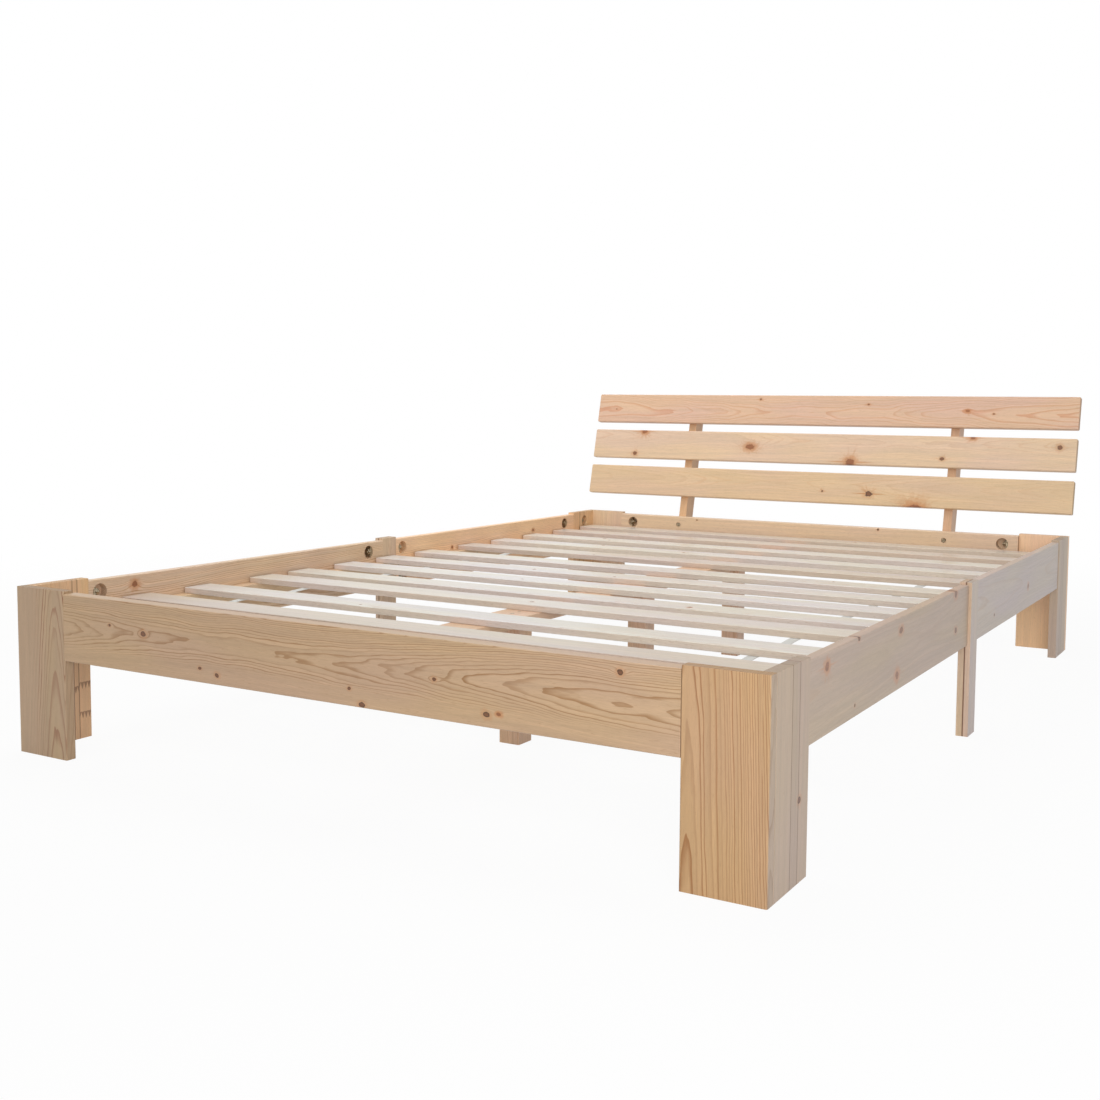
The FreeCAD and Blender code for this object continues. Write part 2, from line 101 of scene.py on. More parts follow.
class Net:
    """Places nodes in one tree and joins them."""

    def __init__(self, tree):
        self.tree = tree

    def node(self, kind, **settings):
        made = self.tree.nodes.new(kind)
        for name, value in settings.items():
            setattr(made, name, value)
        return made

    def join(self, value, socket):
        """Links a socket, or sets a plain value."""
        if isinstance(value, bpy.types.NodeSocket):
            self.tree.links.new(value, socket)
        else:
            socket.default_value = value

    def math(self, operation, *values):
        made = self.node("ShaderNodeMath", operation=operation)
        for value, socket in zip(values, made.inputs):
            self.join(value, socket)
        return made.outputs[0]

    def add(self, *values):
        total = values[0]
        for value in values[1:]:
            total = self.math("ADD", total, value)
        return total

    def less(self, first, second):
        return self.math("SUBTRACT", first, second)

    def times(self, *values):
        total = values[0]
        for value in values[1:]:
            total = self.math("MULTIPLY", total, value)
        return total

    def larger(self, *values):
        total = values[0]
        for value in values[1:]:
            total = self.math("MAXIMUM", total, value)
        return total

    def between(self, value, low, high):
        """Stretches a 0 to 1 value to run from low to high."""
        return self.math("MULTIPLY_ADD", value, high - low, low)

    def vector(self, operation, first, second=None, scale=None):
        made = self.node("ShaderNodeVectorMath", operation=operation)
        self.join(first, made.inputs[0])
        if second is not None:
            self.join(second, made.inputs[1])
        if scale is not None:
            self.join(scale, made.inputs["Scale"])
        return made.outputs["Value" if operation in ("DOT_PRODUCT", "LENGTH") else "Vector"]

    def combine(self, x, y, z):
        made = self.node("ShaderNodeCombineXYZ")
        for value, socket in zip((x, y, z), made.inputs):
            self.join(value, socket)
        return made.outputs[0]

    def separate(self, vector):
        made = self.node("ShaderNodeSeparateXYZ")
        self.join(vector, made.inputs[0])
        return made.outputs

    def noise(self, place, detail=2.0, roughness=0.5, dimensions="3D"):
        """Soft noise, mostly 0.3 to 0.7, with its scale already in the place that is given."""
        made = self.node("ShaderNodeTexNoise", noise_dimensions=dimensions)
        made.inputs["Scale"].default_value = 1.0
        made.inputs["Detail"].default_value = detail
        made.inputs["Roughness"].default_value = roughness
        self.join(place, made.inputs["W" if dimensions == "1D" else "Vector"])
        return made.outputs[0]

    def step(self, value, low, high):
        """0 at low, 1 at high and smooth between; low may be the larger of the two."""
        made = self.node("ShaderNodeMapRange", interpolation_type="SMOOTHSTEP")
        for given, socket in zip((value, low, high), made.inputs):
            self.join(given, socket)
        return made.outputs[0]

    def mix(self, share, first, second, blend="MIX"):
        """Blends two colours; a Mix node keeps its colour sockets behind those for numbers."""
        made = self.node("ShaderNodeMix", data_type="RGBA", blend_type=blend)
        self.join(share, made.inputs["Factor"])
        self.join(first, made.inputs[MIX_FIRST_COLOUR])
        self.join(second, made.inputs[MIX_SECOND_COLOUR])
        return made.outputs[MIX_COLOUR]

    def bump(self, height, strength, distance, shader):
        made = self.node("ShaderNodeBump")
        made.inputs["Strength"].default_value = strength
        made.inputs["Distance"].default_value = distance
        self.join(height, made.inputs["Height"])
        self.join(made.outputs["Normal"], shader.inputs["Normal"])

    def place_group(self, group, **values):
        """Places a node group; an underscore in a name stands for a space."""
        made = self.node("ShaderNodeGroup", node_tree=group)
        for name, value in values.items():
            self.join(value, made.inputs[name.replace("_", " ")])
        return made.outputs


net_methods = [name for name in vars(Net) if not name.startswith("_")]
print(len(net_methods), "short ways to place nodes:", ", ".join(net_methods))

# %% [markdown]
# ## Empty groups and empty materials
#
# What many boards share is built once, as a node group with named inputs and outputs, and is
# placed in each board's material with that board's own values. The same nodes could be copied
# into every material, but a change would then have to be made fifty times over.

# %% New groups and materials
SOCKET_KINDS = {"value": "NodeSocketFloat", "vector": "NodeSocketVector", "colour": "NodeSocketColor"}


def new_group(name, inputs, outputs):
    """An empty shader group with named sockets, given as name: (kind, default) and name: kind."""
    group = bpy.data.node_groups.new(name, "ShaderNodeTree")
    for label, (kind, default) in inputs.items():
        socket = group.interface.new_socket(name=label, in_out="INPUT", socket_type=SOCKET_KINDS[kind])
        socket.default_value = default
    for label, kind in outputs.items():
        group.interface.new_socket(name=label, in_out="OUTPUT", socket_type=SOCKET_KINDS[kind])
    net = Net(group)
    given = net.node("NodeGroupInput").outputs
    wanted = net.node("NodeGroupOutput").inputs
    return group, net, given, wanted


def new_material(name):
    """An empty material, its net and its surface shader."""
    material = bpy.data.materials.new(name)
    material.use_nodes = True
    return material, Net(material.node_tree), material.node_tree.nodes["Principled BSDF"]


def tell(group):
    print(f"group {group.name}: {len(group.nodes)} nodes")


print("kinds of group sockets:", ", ".join(SOCKET_KINDS))

# %% [markdown]
# ## Board coordinates
#
# Grain follows the board and not the room. This group turns a point of the bed into three
# distances in millimetres: along the board, across its width and through its thickness. The
# leaning headboard needs no special case, because its own directions are simply given. Two
# more outputs say where a surface cuts across the fibres and where it is a narrow edge.

# %% Board coordinates group
FACING = (0.6, 0.9)
board_frame, net, given, wanted = new_group(
    "board frame",
    {"Centre": ("vector", (0, 0, 0)), "Along": ("vector", (1, 0, 0)),
     "Across": ("vector", (0, 1, 0)), "Through": ("vector", (0, 0, 1))},
    {"Board": "vector", "End grain": "value", "Narrow edge": "value"})
point = net.node("ShaderNodeTexCoord").outputs["Object"]
offset = net.vector("SUBTRACT", point, given["Centre"])
offset = net.vector("SCALE", offset, scale=1 / MM)
net.join(net.combine(
    net.vector("DOT_PRODUCT", offset, given["Along"]),
    net.vector("DOT_PRODUCT", offset, given["Across"]),
    net.vector("DOT_PRODUCT", offset, given["Through"])), wanted["Board"])
normal = net.node("ShaderNodeNewGeometry").outputs["Normal"]
for direction, mask in (("Along", "End grain"), ("Across", "Narrow edge")):
    facing = net.vector("DOT_PRODUCT", normal, given[direction])
    net.join(net.step(net.math("ABSOLUTE", facing), *FACING), wanted[mask])
tell(board_frame)

# %% [markdown]
# ## Knots
#
# A knot is the root of a branch. A branch that died early leaves a nearly black ring round a
# brown core, a living one is only redder than the board, and the grain around either swerves
# like water round a stone. A picture of a knot could be pasted on, but then the grain would not
# swerve. This group measures the distance to one branch and adds its disc, its dark bark, its
# resin and a swell to what the knots before it gave, so that knots can be chained. The disc and
# its bark come first; a little noise keeps them from being drawn with a compass.

# %% Knot disc and bark
WOBBLE_FINENESS = 0.12
WOBBLE = (0.55, 1.45)
DISC_EDGE = (1.05, 0.85)
BARK_RISE = (0.50, 0.86)
BARK_FALL = (1.25, 1.02)
CORE_BARK = 0.62
knot_group, net, given, wanted = new_group(
    "knot",
    {"Board": ("vector", (0, 0, 0)), "Place along": ("value", 0), "Place across": ("value", 0),
     "Radius": ("value", 6), "Reach": ("value", 1.25), "Swell sign": ("value", 1),
     "Dead": ("value", 1), "Streak": ("value", 0), "Arcs": ("value", 0),
     "Disc so far": ("value", 0), "Bark so far": ("value", 0), "Resin so far": ("value", 0),
     "Swell so far": ("value", 0)},
    {"Disc": "value", "Bark": "value", "Resin": "value", "Swell": "value"})
along, across, _ = net.separate(given["Board"])
wobble = net.noise(net.vector("SCALE", given["Board"], scale=WOBBLE_FINENESS), detail=1.0)
away_along = net.math("DIVIDE", net.less(along, given["Place along"]), given["Reach"])
away_across = net.less(across, given["Place across"])
distance = net.vector("LENGTH", net.combine(away_along, away_across, 0.0))
share = net.math("DIVIDE", net.times(distance, net.between(wobble, *WOBBLE)), given["Radius"])
disc = net.step(share, *DISC_EDGE)
bark = net.times(net.step(share, *BARK_RISE), net.step(share, *BARK_FALL))
bark = net.times(net.larger(bark, net.times(disc, CORE_BARK)), given["Dead"])
tell(knot_group)

# %% [markdown]
# ## Resin round a knot
#
# A branch bleeds into the board. Round it lies an amber halo, a streak runs from it along the
# grain, short arcs follow the rings, and where the saw passed beside the branch its rays open
# like a fan towards the middle of the board. All are measured in radii of the knot.

# %% Knot resin
SPOKES = 3.0
SPOKE_EDGE = (0.50, 0.62)
FAN_SIDE = (-0.5, 1.0)
FAN_REACH = (5.0, 1.0)
FAN_STRENGTH = 0.75
STREAK_WIDTH = 0.42
STREAK_LENGTH = 8.0
STREAK_EDGE = (1.0, 0.2)
HALO_REACH = (3.0, 0.9)
HALO_STRENGTH = (0.95, 0.45)
ARC_SPACING = 0.28
ARC_EDGE = (0.16, 0.26)
ARC_REACH = (4.5, 1.3)
ARC_STRENGTH = 0.6
angle = net.math("ARCTAN2", away_across, away_along)
spoke = net.noise(net.combine(net.times(angle, SPOKES), given["Radius"], 0.0), detail=1.0)
inwards = net.times(away_across, net.math("SIGN", given["Place across"]), -1.0)
inwards = net.step(net.math("DIVIDE", inwards, given["Radius"]), *FAN_SIDE)
fan = net.times(net.step(share, *FAN_REACH), net.step(spoke, *SPOKE_EDGE), inwards, given["Streak"])
streak_across = net.math("DIVIDE", away_across, net.times(given["Radius"], STREAK_WIDTH))
streak_along = net.math("DIVIDE", away_along, net.times(given["Radius"], STREAK_LENGTH))
streak_share = net.vector("LENGTH", net.combine(streak_across, streak_along, 0.0))
streak = net.times(net.step(streak_share, *STREAK_EDGE), given["Streak"])
halo = net.times(net.step(share, *HALO_REACH), net.between(given["Dead"], *HALO_STRENGTH))
arcs = net.step(net.math("PINGPONG", share, ARC_SPACING), *ARC_EDGE)
arcs = net.times(arcs, net.step(share, *ARC_REACH), given["Arcs"], ARC_STRENGTH)
resin = net.larger(halo, streak, net.times(fan, FAN_STRENGTH), arcs)
tell(knot_group)

# %% [markdown]
# ## The grain swerves
#
# The rings near a branch bulge to one side of it. A smooth hill, added to the distance from the
# pith, bends every ring near the knot, and the hill is longer along the board than across. The
# last lines join this knot's disc, bark, resin and swell to those of the knots before it.

# %% Knot swell
SWELL_STRETCH = 0.5
SWELL_REACH = 1.6
SWELL_HEIGHT = 1.3
stretched = net.vector("LENGTH", net.combine(net.times(away_along, SWELL_STRETCH), away_across, 0.0))
spread = net.math("DIVIDE", stretched, net.times(given["Radius"], SWELL_REACH))
swell = net.math("EXPONENT", net.times(net.math("POWER", spread, 2.0), -1.0))
swell = net.times(swell, given["Radius"], given["Swell sign"], SWELL_HEIGHT)
net.join(net.larger(disc, given["Disc so far"]), wanted["Disc"])
net.join(net.larger(bark, given["Bark so far"]), wanted["Bark"])
net.join(net.larger(resin, given["Resin so far"]), wanted["Resin"])
net.join(net.add(swell, given["Swell so far"]), wanted["Swell"])
tell(knot_group)

# %% [markdown]
# ## Growth rings
#
# A tree adds a pale soft layer in spring and a thin dark hard one in late summer. Sawn close to
# parallel with the rings a board shows pointed arches, sawn across them it shows straight
# lines. Both come from one formula: the distance of a point from the tree's pith, which
# wanders beside the board, less a share of the length, because a trunk tapers. The arches then
# point towards the place where the taper turns.

# %% Growth ring group
PITH_DRIFT_ACROSS = 3.0
PITH_DRIFT_THROUGH = 2.0
SECOND_DRIFT = 7.3
JITTER = 5.0
JITTER_ALONG = 0.011
JITTER_ACROSS = 0.055
JITTER_SHIFT = 3.1
TURN_ROUNDING = 60.0
ring_group, net, given, wanted = new_group(
    "growth rings",
    {"Board": ("vector", (0, 0, 0)), "Pith across": ("value", 0), "Pith through": ("value", -60),
     "Wander": ("value", 8), "Bend length": ("value", 420), "Ring width": ("value", 3.2),
     "Narrowing": ("value", 0.004), "Taper": ("value", 0.03), "Turn": ("value", 0),
     "Fade start": ("value", 900), "Fade end": ("value", 901), "Swell": ("value", 0),
     "Seed": ("value", 0)},
    {"Late wood": "value", "Year tone": "value", "Radius": "value"})
along, across, through = net.separate(given["Board"])
phase = net.math("DIVIDE", along, given["Bend length"])
drift_across = net.noise(net.combine(phase, given["Seed"], 0.0), detail=1.0)
drift_through = net.noise(net.combine(phase, given["Seed"], SECOND_DRIFT), detail=1.0)
drift_across = net.times(net.less(drift_across, 0.5), given["Wander"], PITH_DRIFT_ACROSS)
drift_through = net.times(net.less(drift_through, 0.5), given["Wander"], PITH_DRIFT_THROUGH)
jitter_place = net.combine(
    net.times(along, JITTER_ALONG), net.times(across, JITTER_ACROSS), net.times(through, JITTER_ACROSS))
jitter_place = net.vector("ADD", jitter_place, net.combine(given["Seed"], JITTER_SHIFT, 0.0))
jitter = net.times(net.less(net.noise(jitter_place), 0.5), JITTER)
from_pith = net.vector("LENGTH", net.combine(
    net.add(net.less(across, given["Pith across"]), drift_across),
    net.add(net.less(through, given["Pith through"]), drift_through),
    0.0))
from_turn = net.vector("LENGTH", net.combine(net.less(along, given["Turn"]), TURN_ROUNDING, 0.0))
radius = net.add(from_pith, jitter, given["Swell"], net.times(from_turn, given["Taper"], -1.0))
tell(ring_group)

# %% [markdown]
# ## From distance to years
#
# Divided by the ring width, the distance becomes a count of years, and its fraction says how
# far the year has come. Late wood darkens slowly through the summer and ends sharply in winter.
# Good and bad years shift the count a little, and rings narrow towards the bark.

# %% Years and late wood
UNEVEN_FINENESS = 0.05
UNEVEN_YEARS = 2.0
SUMMER = (0.56, 0.93)
WINTER = (1.0, 0.96)
YEAR_STRENGTH = (0.25, 1.0)
FADED_STRENGTH = 0.15
uneven = net.noise(
    net.add(net.times(radius, UNEVEN_FINENESS), given["Seed"]), dimensions="1D", detail=1.0)
narrowing = net.math("MULTIPLY_ADD", radius, given["Narrowing"], 1.0)
years = net.times(net.math("DIVIDE", radius, given["Ring width"]), narrowing)
years = net.add(years, net.times(uneven, UNEVEN_YEARS))
part = net.math("FRACT", years)
late = net.times(net.step(part, *SUMMER), net.step(part, *WINTER))
year_noise = net.node("ShaderNodeTexWhiteNoise", noise_dimensions="1D")
net.join(net.add(net.math("FLOOR", years), given["Seed"]), year_noise.inputs["W"])
year_tone = year_noise.outputs["Value"]
faded = net.step(across, given["Fade start"], given["Fade end"])
late = net.times(late, net.between(year_tone, *YEAR_STRENGTH), net.between(faded, 1.0, FADED_STRENGTH))
net.join(late, wanted["Late wood"])
net.join(year_tone, wanted["Year tone"])
net.join(radius, wanted["Radius"])
tell(ring_group)

# %% [markdown]
# ## Fibres and resin flecks
#
# Between the rings a planed board still shows its fibres: hair-fine streaks along the grain and
# a scatter of short brown resin canals. They are the same noise, stretched until one fibre is
# about twenty times longer than it is wide. On the end of a board they turn into dots.

# %% Fibre group
FLECK_EDGE = (0.69, 0.78)
TINT_EDGE = (0.32, 0.68)
fibre_group, net, given, wanted = new_group(
    "fibres",
    {"Board": ("vector", (0, 0, 0)), "Seed": ("value", 0)},
    {"Fibre": "value", "Fleck": "value", "Cloud": "value", "Tint": "value"})
along, across, through = net.separate(given["Board"])


def stretched_noise(along_scale, cross_scale, shift, detail, roughness=0.5):
    """Noise with one scale along the board and another across it and through it."""
    place = net.combine(
        net.add(net.times(along, along_scale), given["Seed"], shift),
        net.times(across, cross_scale), net.times(through, cross_scale))
    return net.noise(place, detail=detail, roughness=roughness)


fibre = stretched_noise(along_scale=0.045, cross_scale=1.3, shift=0.0, detail=3.0, roughness=0.6)
fleck = stretched_noise(along_scale=0.11, cross_scale=1.1, shift=1.7, detail=0.0)
cloud = stretched_noise(along_scale=0.005, cross_scale=0.12, shift=4.9, detail=3.0, roughness=0.6)
tint = stretched_noise(along_scale=0.003, cross_scale=0.014, shift=9.2, detail=1.0)
net.join(fibre, wanted["Fibre"])
net.join(net.step(fleck, *FLECK_EDGE), wanted["Fleck"])
net.join(cloud, wanted["Cloud"])
net.join(net.step(tint, *TINT_EDGE), wanted["Tint"])
tell(fibre_group)

# %% [markdown]
# ## Glued strips
#
# The broad legs are glued up from narrower strips, each from another tree. At a seam the grain
# stops and starts again, the tone jumps and a hair-fine dark glue line shows. The group counts
# how many seams lie behind a point; that number tells the strips apart.

# %% Strip group
SEAM_SOFTNESS = 0.1
LINE_CORE = 0.4
strip_group, net, given, wanted = new_group(
    "glued strips",
    {"Distance": ("value", 0), "First seam": ("value", 500), "Second seam": ("value", 900),
     "Line width": ("value", 0.5)},
    {"Strip": "value", "Glue line": "value"})
lines = []
steps = []
for seam in ("First seam", "Second seam"):
    beyond = net.less(given["Distance"], given[seam])
    steps.append(net.step(beyond, -SEAM_SOFTNESS, SEAM_SOFTNESS))
    lines.append(net.math("ABSOLUTE", beyond))
net.join(net.add(*steps), wanted["Strip"])
nearest = net.math("MINIMUM", *lines)
line_core = net.times(given["Line width"], LINE_CORE)
net.join(net.step(nearest, given["Line width"], line_core), wanted["Glue line"])
tell(strip_group)

# %% [markdown]
# ## Finger joints
#
# The strips themselves are joined end to end with small wedge-shaped fingers. A zigzag across
# the board gives their flanks, and the fingers between are filled with the dark of the glue.
# Seams and fingers are lines at a known distance, so both are drawn from the distance alone and
# cost hardly anything to render.

# %% Finger joint group
FINGER_LENGTH = 13.0
FINGER_PITCH = 7.5
FINGER_LINE = 1.6
FINGER_FILL = 0.85
ROOT_SOFTNESS = 1.0
FLANK_SOFTNESS = 2.0
SAME_STRIP = (0.3, 0.2)
finger_group, net, given, wanted = new_group(
    "finger joint",
    {"Board": ("vector", (0, 0, 0)), "Place": ("value", 500), "Strip": ("value", 0),
     "Which strip": ("value", 1)},
    {"Joint line": "value"})
along, across, _ = net.separate(given["Board"])
wedge = net.math("PINGPONG", across, FINGER_PITCH / 2)
wedge = net.times(wedge, 2 * FINGER_LENGTH / FINGER_PITCH)
beyond = net.less(given["Place"], along)
line = net.step(net.math("ABSOLUTE", net.less(beyond, wedge)), FINGER_LINE, FINGER_LINE * LINE_CORE)
finger = net.times(
    net.step(beyond, 0.0, ROOT_SOFTNESS), net.step(net.less(wedge, beyond), 0.0, FLANK_SOFTNESS))
line = net.larger(line, net.times(finger, FINGER_FILL))
from_strip = net.math("ABSOLUTE", net.less(given["Strip"], given["Which strip"]))
net.join(net.times(line, net.step(from_strip, *SAME_STRIP)), wanted["Joint line"])
tell(finger_group)

# %% [markdown]
# ## Wood colour
#
# The last shared group turns the masks into a colour, a height and a roughness. Late wood is
# warmer and darker than early wood, the ends of boards drink more light, and slow noise makes
# one part of a board yellower and another pinker. Keeping this in one group means that one
# change of taste reaches every board.

# %% Wood colour group
YELLOWER = (1.02, 1.0, 0.92, 1)
PINKER = (1.0, 0.97, 0.99, 1)
EDGE_RINGS = 0.45
YEAR_SHADE = (0.96, 1.04)
FIBRE_SHADE = (0.80, 1.20)
CLOUD_SHADE = (0.86, 1.14)
END_SHADE = 0.80
tone_group, net, given, wanted = new_group(
    "wood tone",
    {"Early": ("colour", (0.8, 0.6, 0.4, 1)), "Late": ("colour", (0.6, 0.35, 0.15, 1)),
     "Contrast": ("value", 0.6), "Late wood": ("value", 0), "Year tone": ("value", 0.5),
     "Fibre": ("value", 0.5), "Fleck": ("value", 0), "Cloud": ("value", 0.5),
     "Tint": ("value", 0.5), "Disc": ("value", 0), "Bark": ("value", 0), "Resin": ("value", 0),
     "Radius": ("value", 0), "Glue line": ("value", 0), "Strip": ("value", 0),
     "Strip tone": ("value", 0.93), "End grain": ("value", 0), "Narrow edge": ("value", 0),
     "Edge tint": ("colour", (1, 1, 1, 1)), "Dullness": ("value", 0.36)},
    {"Colour": "colour", "Height": "value", "Roughness": "value"})
rings_seen = net.between(given["Narrow edge"], 1.0, EDGE_RINGS)
late = net.times(given["Late wood"], given["Contrast"], rings_seen)
colour = net.mix(late, given["Early"], given["Late"])
middle_strip = net.math("PINGPONG", given["Strip"], 1.0)
shade = net.times(
    net.between(given["Year tone"], *YEAR_SHADE), net.between(given["Fibre"], *FIBRE_SHADE),
    net.between(given["Cloud"], *CLOUD_SHADE),
    net.math("MULTIPLY_ADD", middle_strip, net.less(given["Strip tone"], 1.0), 1.0),
    net.between(given["End grain"], 1.0, END_SHADE))
colour = net.mix(1.0, colour, net.combine(shade, shade, shade), "MULTIPLY")
colour = net.mix(given["Narrow edge"], colour, net.mix(1.0, colour, given["Edge tint"], "MULTIPLY"))
colour = net.mix(1.0, colour, net.mix(given["Tint"], YELLOWER, PINKER), "MULTIPLY")
tell(tone_group)

# %% [markdown]
# ## Marks on the wood
#
# Flecks, resin, knots, bark and glue lie over the plain wood in that order, each mixed in by
# its mask. None covers the wood fully, because even bark lets some of the grain through. The
# same masks give the height for the bump and the roughness: resin shines, end grain is dull.

# %% Marks, relief and gloss
KNOT_CORE = (0.36, 0.125, 0.045, 1)
KNOT_RING = (0.20, 0.07, 0.025, 1)
KNOT_BARK = (0.075, 0.035, 0.015, 1)
RESIN_AMBER = (0.53, 0.20, 0.055, 1)
FLECK_BROWN = (0.33, 0.17, 0.07, 1)
GLUE_BROWN = (0.16, 0.06, 0.03, 1)
KNOT_YEARS = 3.0
KNOT_YEAR_MIX = (0.3, 0.7)
knot_year = net.between(net.math("SINE", net.times(given["Radius"], KNOT_YEARS)), *KNOT_YEAR_MIX)
knot_wood = net.mix(knot_year, KNOT_CORE, KNOT_RING)
for mask, strength, mark in (("Fleck", 0.25, FLECK_BROWN), ("Resin", 0.85, RESIN_AMBER),
                             ("Disc", 0.9, knot_wood), ("Bark", 0.92, KNOT_BARK),
                             ("Glue line", 0.75, GLUE_BROWN)):
    colour = net.mix(net.times(given[mask], strength), colour, mark)
relief = [net.times(given[mask], height)
          for mask, height in (("Late wood", 0.35), ("Fibre", 0.5), ("Bark", -0.6), ("Glue line", -0.9))]
dull = [net.times(given[mask], rise)
        for mask, rise in (("Fibre", 0.10), ("End grain", 0.25), ("Resin", -0.08))]
net.join(colour, wanted["Colour"])
net.join(net.add(*relief), wanted["Height"])
net.join(net.add(given["Dullness"], *dull), wanted["Roughness"])
tell(tone_group)

# %% [markdown]
# ## One material per board
#
# A stack of identical textures is what makes rendered furniture look rendered. Each board here
# gets a material of its own: the same groups, but another seed, another place of the pith and
# its own knots. The directions are read from the board's box: the longest side is the grain.

# %% Board directions
AXES = (Vector((1, 0, 0)), Vector((0, 1, 0)), Vector((0, 0, 1)))
SIDEWAYS = AXES[0]


def board_directions(low, high):
    """The directions of length, width and thickness, from the longest side to the shortest."""
    size = high - low
    order = sorted(range(3), key=lambda axis: -size[axis])
    return [AXES[axis] for axis in order]


rail_ways = board_directions(*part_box("foot_rail"))
print("the foot rail's grain runs along", tuple(rail_ways[0]))

# %% [markdown]
# ## What a sawyer would write on a board
#
# Two small classes hold what differs from board to board: where its knots are, and how and from
# what wood it was cut. A long list of loose arguments would do the same, but these read like a
# note on the board: how far from the pith, with what ring width, glued up or not. What a board
# doesn't mention is the same as on most boards.

# %% Knots and cuts
class Knot:
    """A knot's place from the board's middle and its radius, in millimetres."""

    def __init__(self, along, across, radius, dead=1.0, streak=0.0, arcs=0.0):
        self.along = along
        self.across = across
        self.radius = radius
        self.dead = dead
        self.streak = streak
        self.arcs = arcs


class Cut:
    """How one board was sawn, and from what wood; lengths are in millimetres."""

    def __init__(self, early, late, contrast=0.6, pith=(0, -60), wander=7, bend=420, ring=3.2,
                 narrowing=0.004, taper=0.03, turn=0, fade=(900, 901), knots=(), seams=(500, 900),
                 seam_axis="across", seam_width=0.5, strip_shift=35, strip_tone=0.93, fingers=(),
                 edge=(1, 1, 1), dullness=0.36):
        self.early = early
        self.late = late
        self.contrast = contrast
        self.pith = pith
        self.wander = wander
        self.bend = bend
        self.ring = ring
        self.narrowing = narrowing
        self.taper = taper
        self.turn = turn
        self.fade = fade
        self.knots = knots
        self.seams = seams
        self.seam_axis = seam_axis
        self.seam_width = seam_width
        self.strip_shift = strip_shift
        self.strip_tone = strip_tone
        self.fingers = fingers
        self.edge = edge
        self.dullness = dullness


print(f"{len(vars(Knot(0, 0, 1)))} values describe a knot, {len(vars(Cut(None, None)))} a cut")

# %% [markdown]
# ## From a cut to a material
#
# The groups are placed one after another: strips and glue, knots, rings, fibres and last the
# colour. A strip beyond a seam gets another seed and another pith, so the grain breaks off at
# the glue line as it does on the bench. The bump is faint, because the boards are planed.

# %% Board material
LEAST_REACH = 1.1
REACH_STEP = 0.25
STRIP_SEED = 5.7
GRAIN_RELIEF = 0.12
GRAIN_DEPTH = 0.3 * MM


def chain_knots(net, board, knots):
    """Places one knot group after another; returns the masks of all of them together."""
    masks = {"Disc": 0.0, "Bark": 0.0, "Resin": 0.0, "Swell": 0.0}
    for index, knot in enumerate(knots):
        masks = net.place_group(
            knot_group, Board=board, Place_along=knot.along, Place_across=knot.across,
            Radius=knot.radius, Reach=LEAST_REACH + REACH_STEP * (index % 3),
            Swell_sign=1 if index % 2 else -1, Dead=knot.dead, Streak=knot.streak, Arcs=knot.arcs,
            Disc_so_far=masks["Disc"], Bark_so_far=masks["Bark"],
            Resin_so_far=masks["Resin"], Swell_so_far=masks["Swell"])
    return masks


def glue_marks(net, board, cut):
    """Which strip a point lies in, and the mask of all glue lines and finger joints."""
    distances = dict(zip(("along", "across", "through"), net.separate(board)))
    strips = net.place_group(
        strip_group, Distance=distances[cut.seam_axis], First_seam=cut.seams[0],
        Second_seam=cut.seams[1], Line_width=cut.seam_width)
    glue = strips["Glue line"]
    for place, which in cut.fingers:
        fingers = net.place_group(
            finger_group, Board=board, Place=place, Strip=strips["Strip"], Which_strip=which)
        glue = net.larger(glue, fingers["Joint line"])
    return strips["Strip"], glue


def board_material(name, centre, directions, cut, seed):
    """Pine for one board."""
    material, net, shader = new_material(f"pine_{name}")
    along, across, through = directions
    placed = net.place_group(board_frame, Centre=centre, Along=along, Across=across, Through=through)
    board = placed["Board"]
    strip, glue = glue_marks(net, board, cut)
    knots = chain_knots(net, board, cut.knots)
    rings = net.place_group(
        ring_group, Board=board, Pith_across=net.add(net.times(strip, cut.strip_shift), cut.pith[0]),
        Pith_through=cut.pith[1], Wander=cut.wander, Bend_length=cut.bend, Ring_width=cut.ring,
        Narrowing=cut.narrowing, Taper=cut.taper, Turn=cut.turn, Fade_start=cut.fade[0],
        Fade_end=cut.fade[1], Swell=knots["Swell"], Seed=net.add(net.times(strip, STRIP_SEED), seed))
    fibres = net.place_group(fibre_group, Board=board, Seed=seed)
    tone = net.place_group(
        tone_group, Early=(*cut.early, 1), Late=(*cut.late, 1), Contrast=cut.contrast,
        Late_wood=rings["Late wood"], Year_tone=rings["Year tone"], Radius=rings["Radius"],
        Fibre=fibres["Fibre"], Fleck=fibres["Fleck"], Cloud=fibres["Cloud"], Tint=fibres["Tint"],
        Disc=knots["Disc"], Bark=knots["Bark"], Resin=knots["Resin"], Glue_line=glue,
        Strip=strip, Strip_tone=cut.strip_tone, End_grain=placed["End grain"],
        Narrow_edge=placed["Narrow edge"], Edge_tint=(*cut.edge, 1), Dullness=cut.dullness)
    net.join(tone["Colour"], shader.inputs["Base Color"])
    net.join(tone["Roughness"], shader.inputs["Roughness"])
    net.bump(tone["Height"], GRAIN_RELIEF, GRAIN_DEPTH, shader)
    return material


print(f"grain relief {GRAIN_RELIEF} of {GRAIN_DEPTH / MM:.1f} mm")

# %% [markdown]
# ## Dressing a board
#
# The boards came with the frame and stay where they are; only what fills their material slots
# changes. Each kind of board starts its seeds somewhere else, so that no two boards are alike.

# %% Dressing
SEEDS = {"leg end board": (11.3, 3.1), "leg side board": (27.9, 2.3), "side rail": (60, 4.3),
         "ledger": (80, 2.9), "hidden board": (100, 3.7), "headboard slat": (120, 5.1),
         "upright": (150, 4)}


def seed_of(kind, index):
    first, step = SEEDS[kind]
    return first + step * index


def dress(piece, material):
    """Gives every slot of a piece the material."""
    if not piece.data.materials:
        piece.data.materials.append(material)
    for slot in piece.material_slots:
        slot.material = material


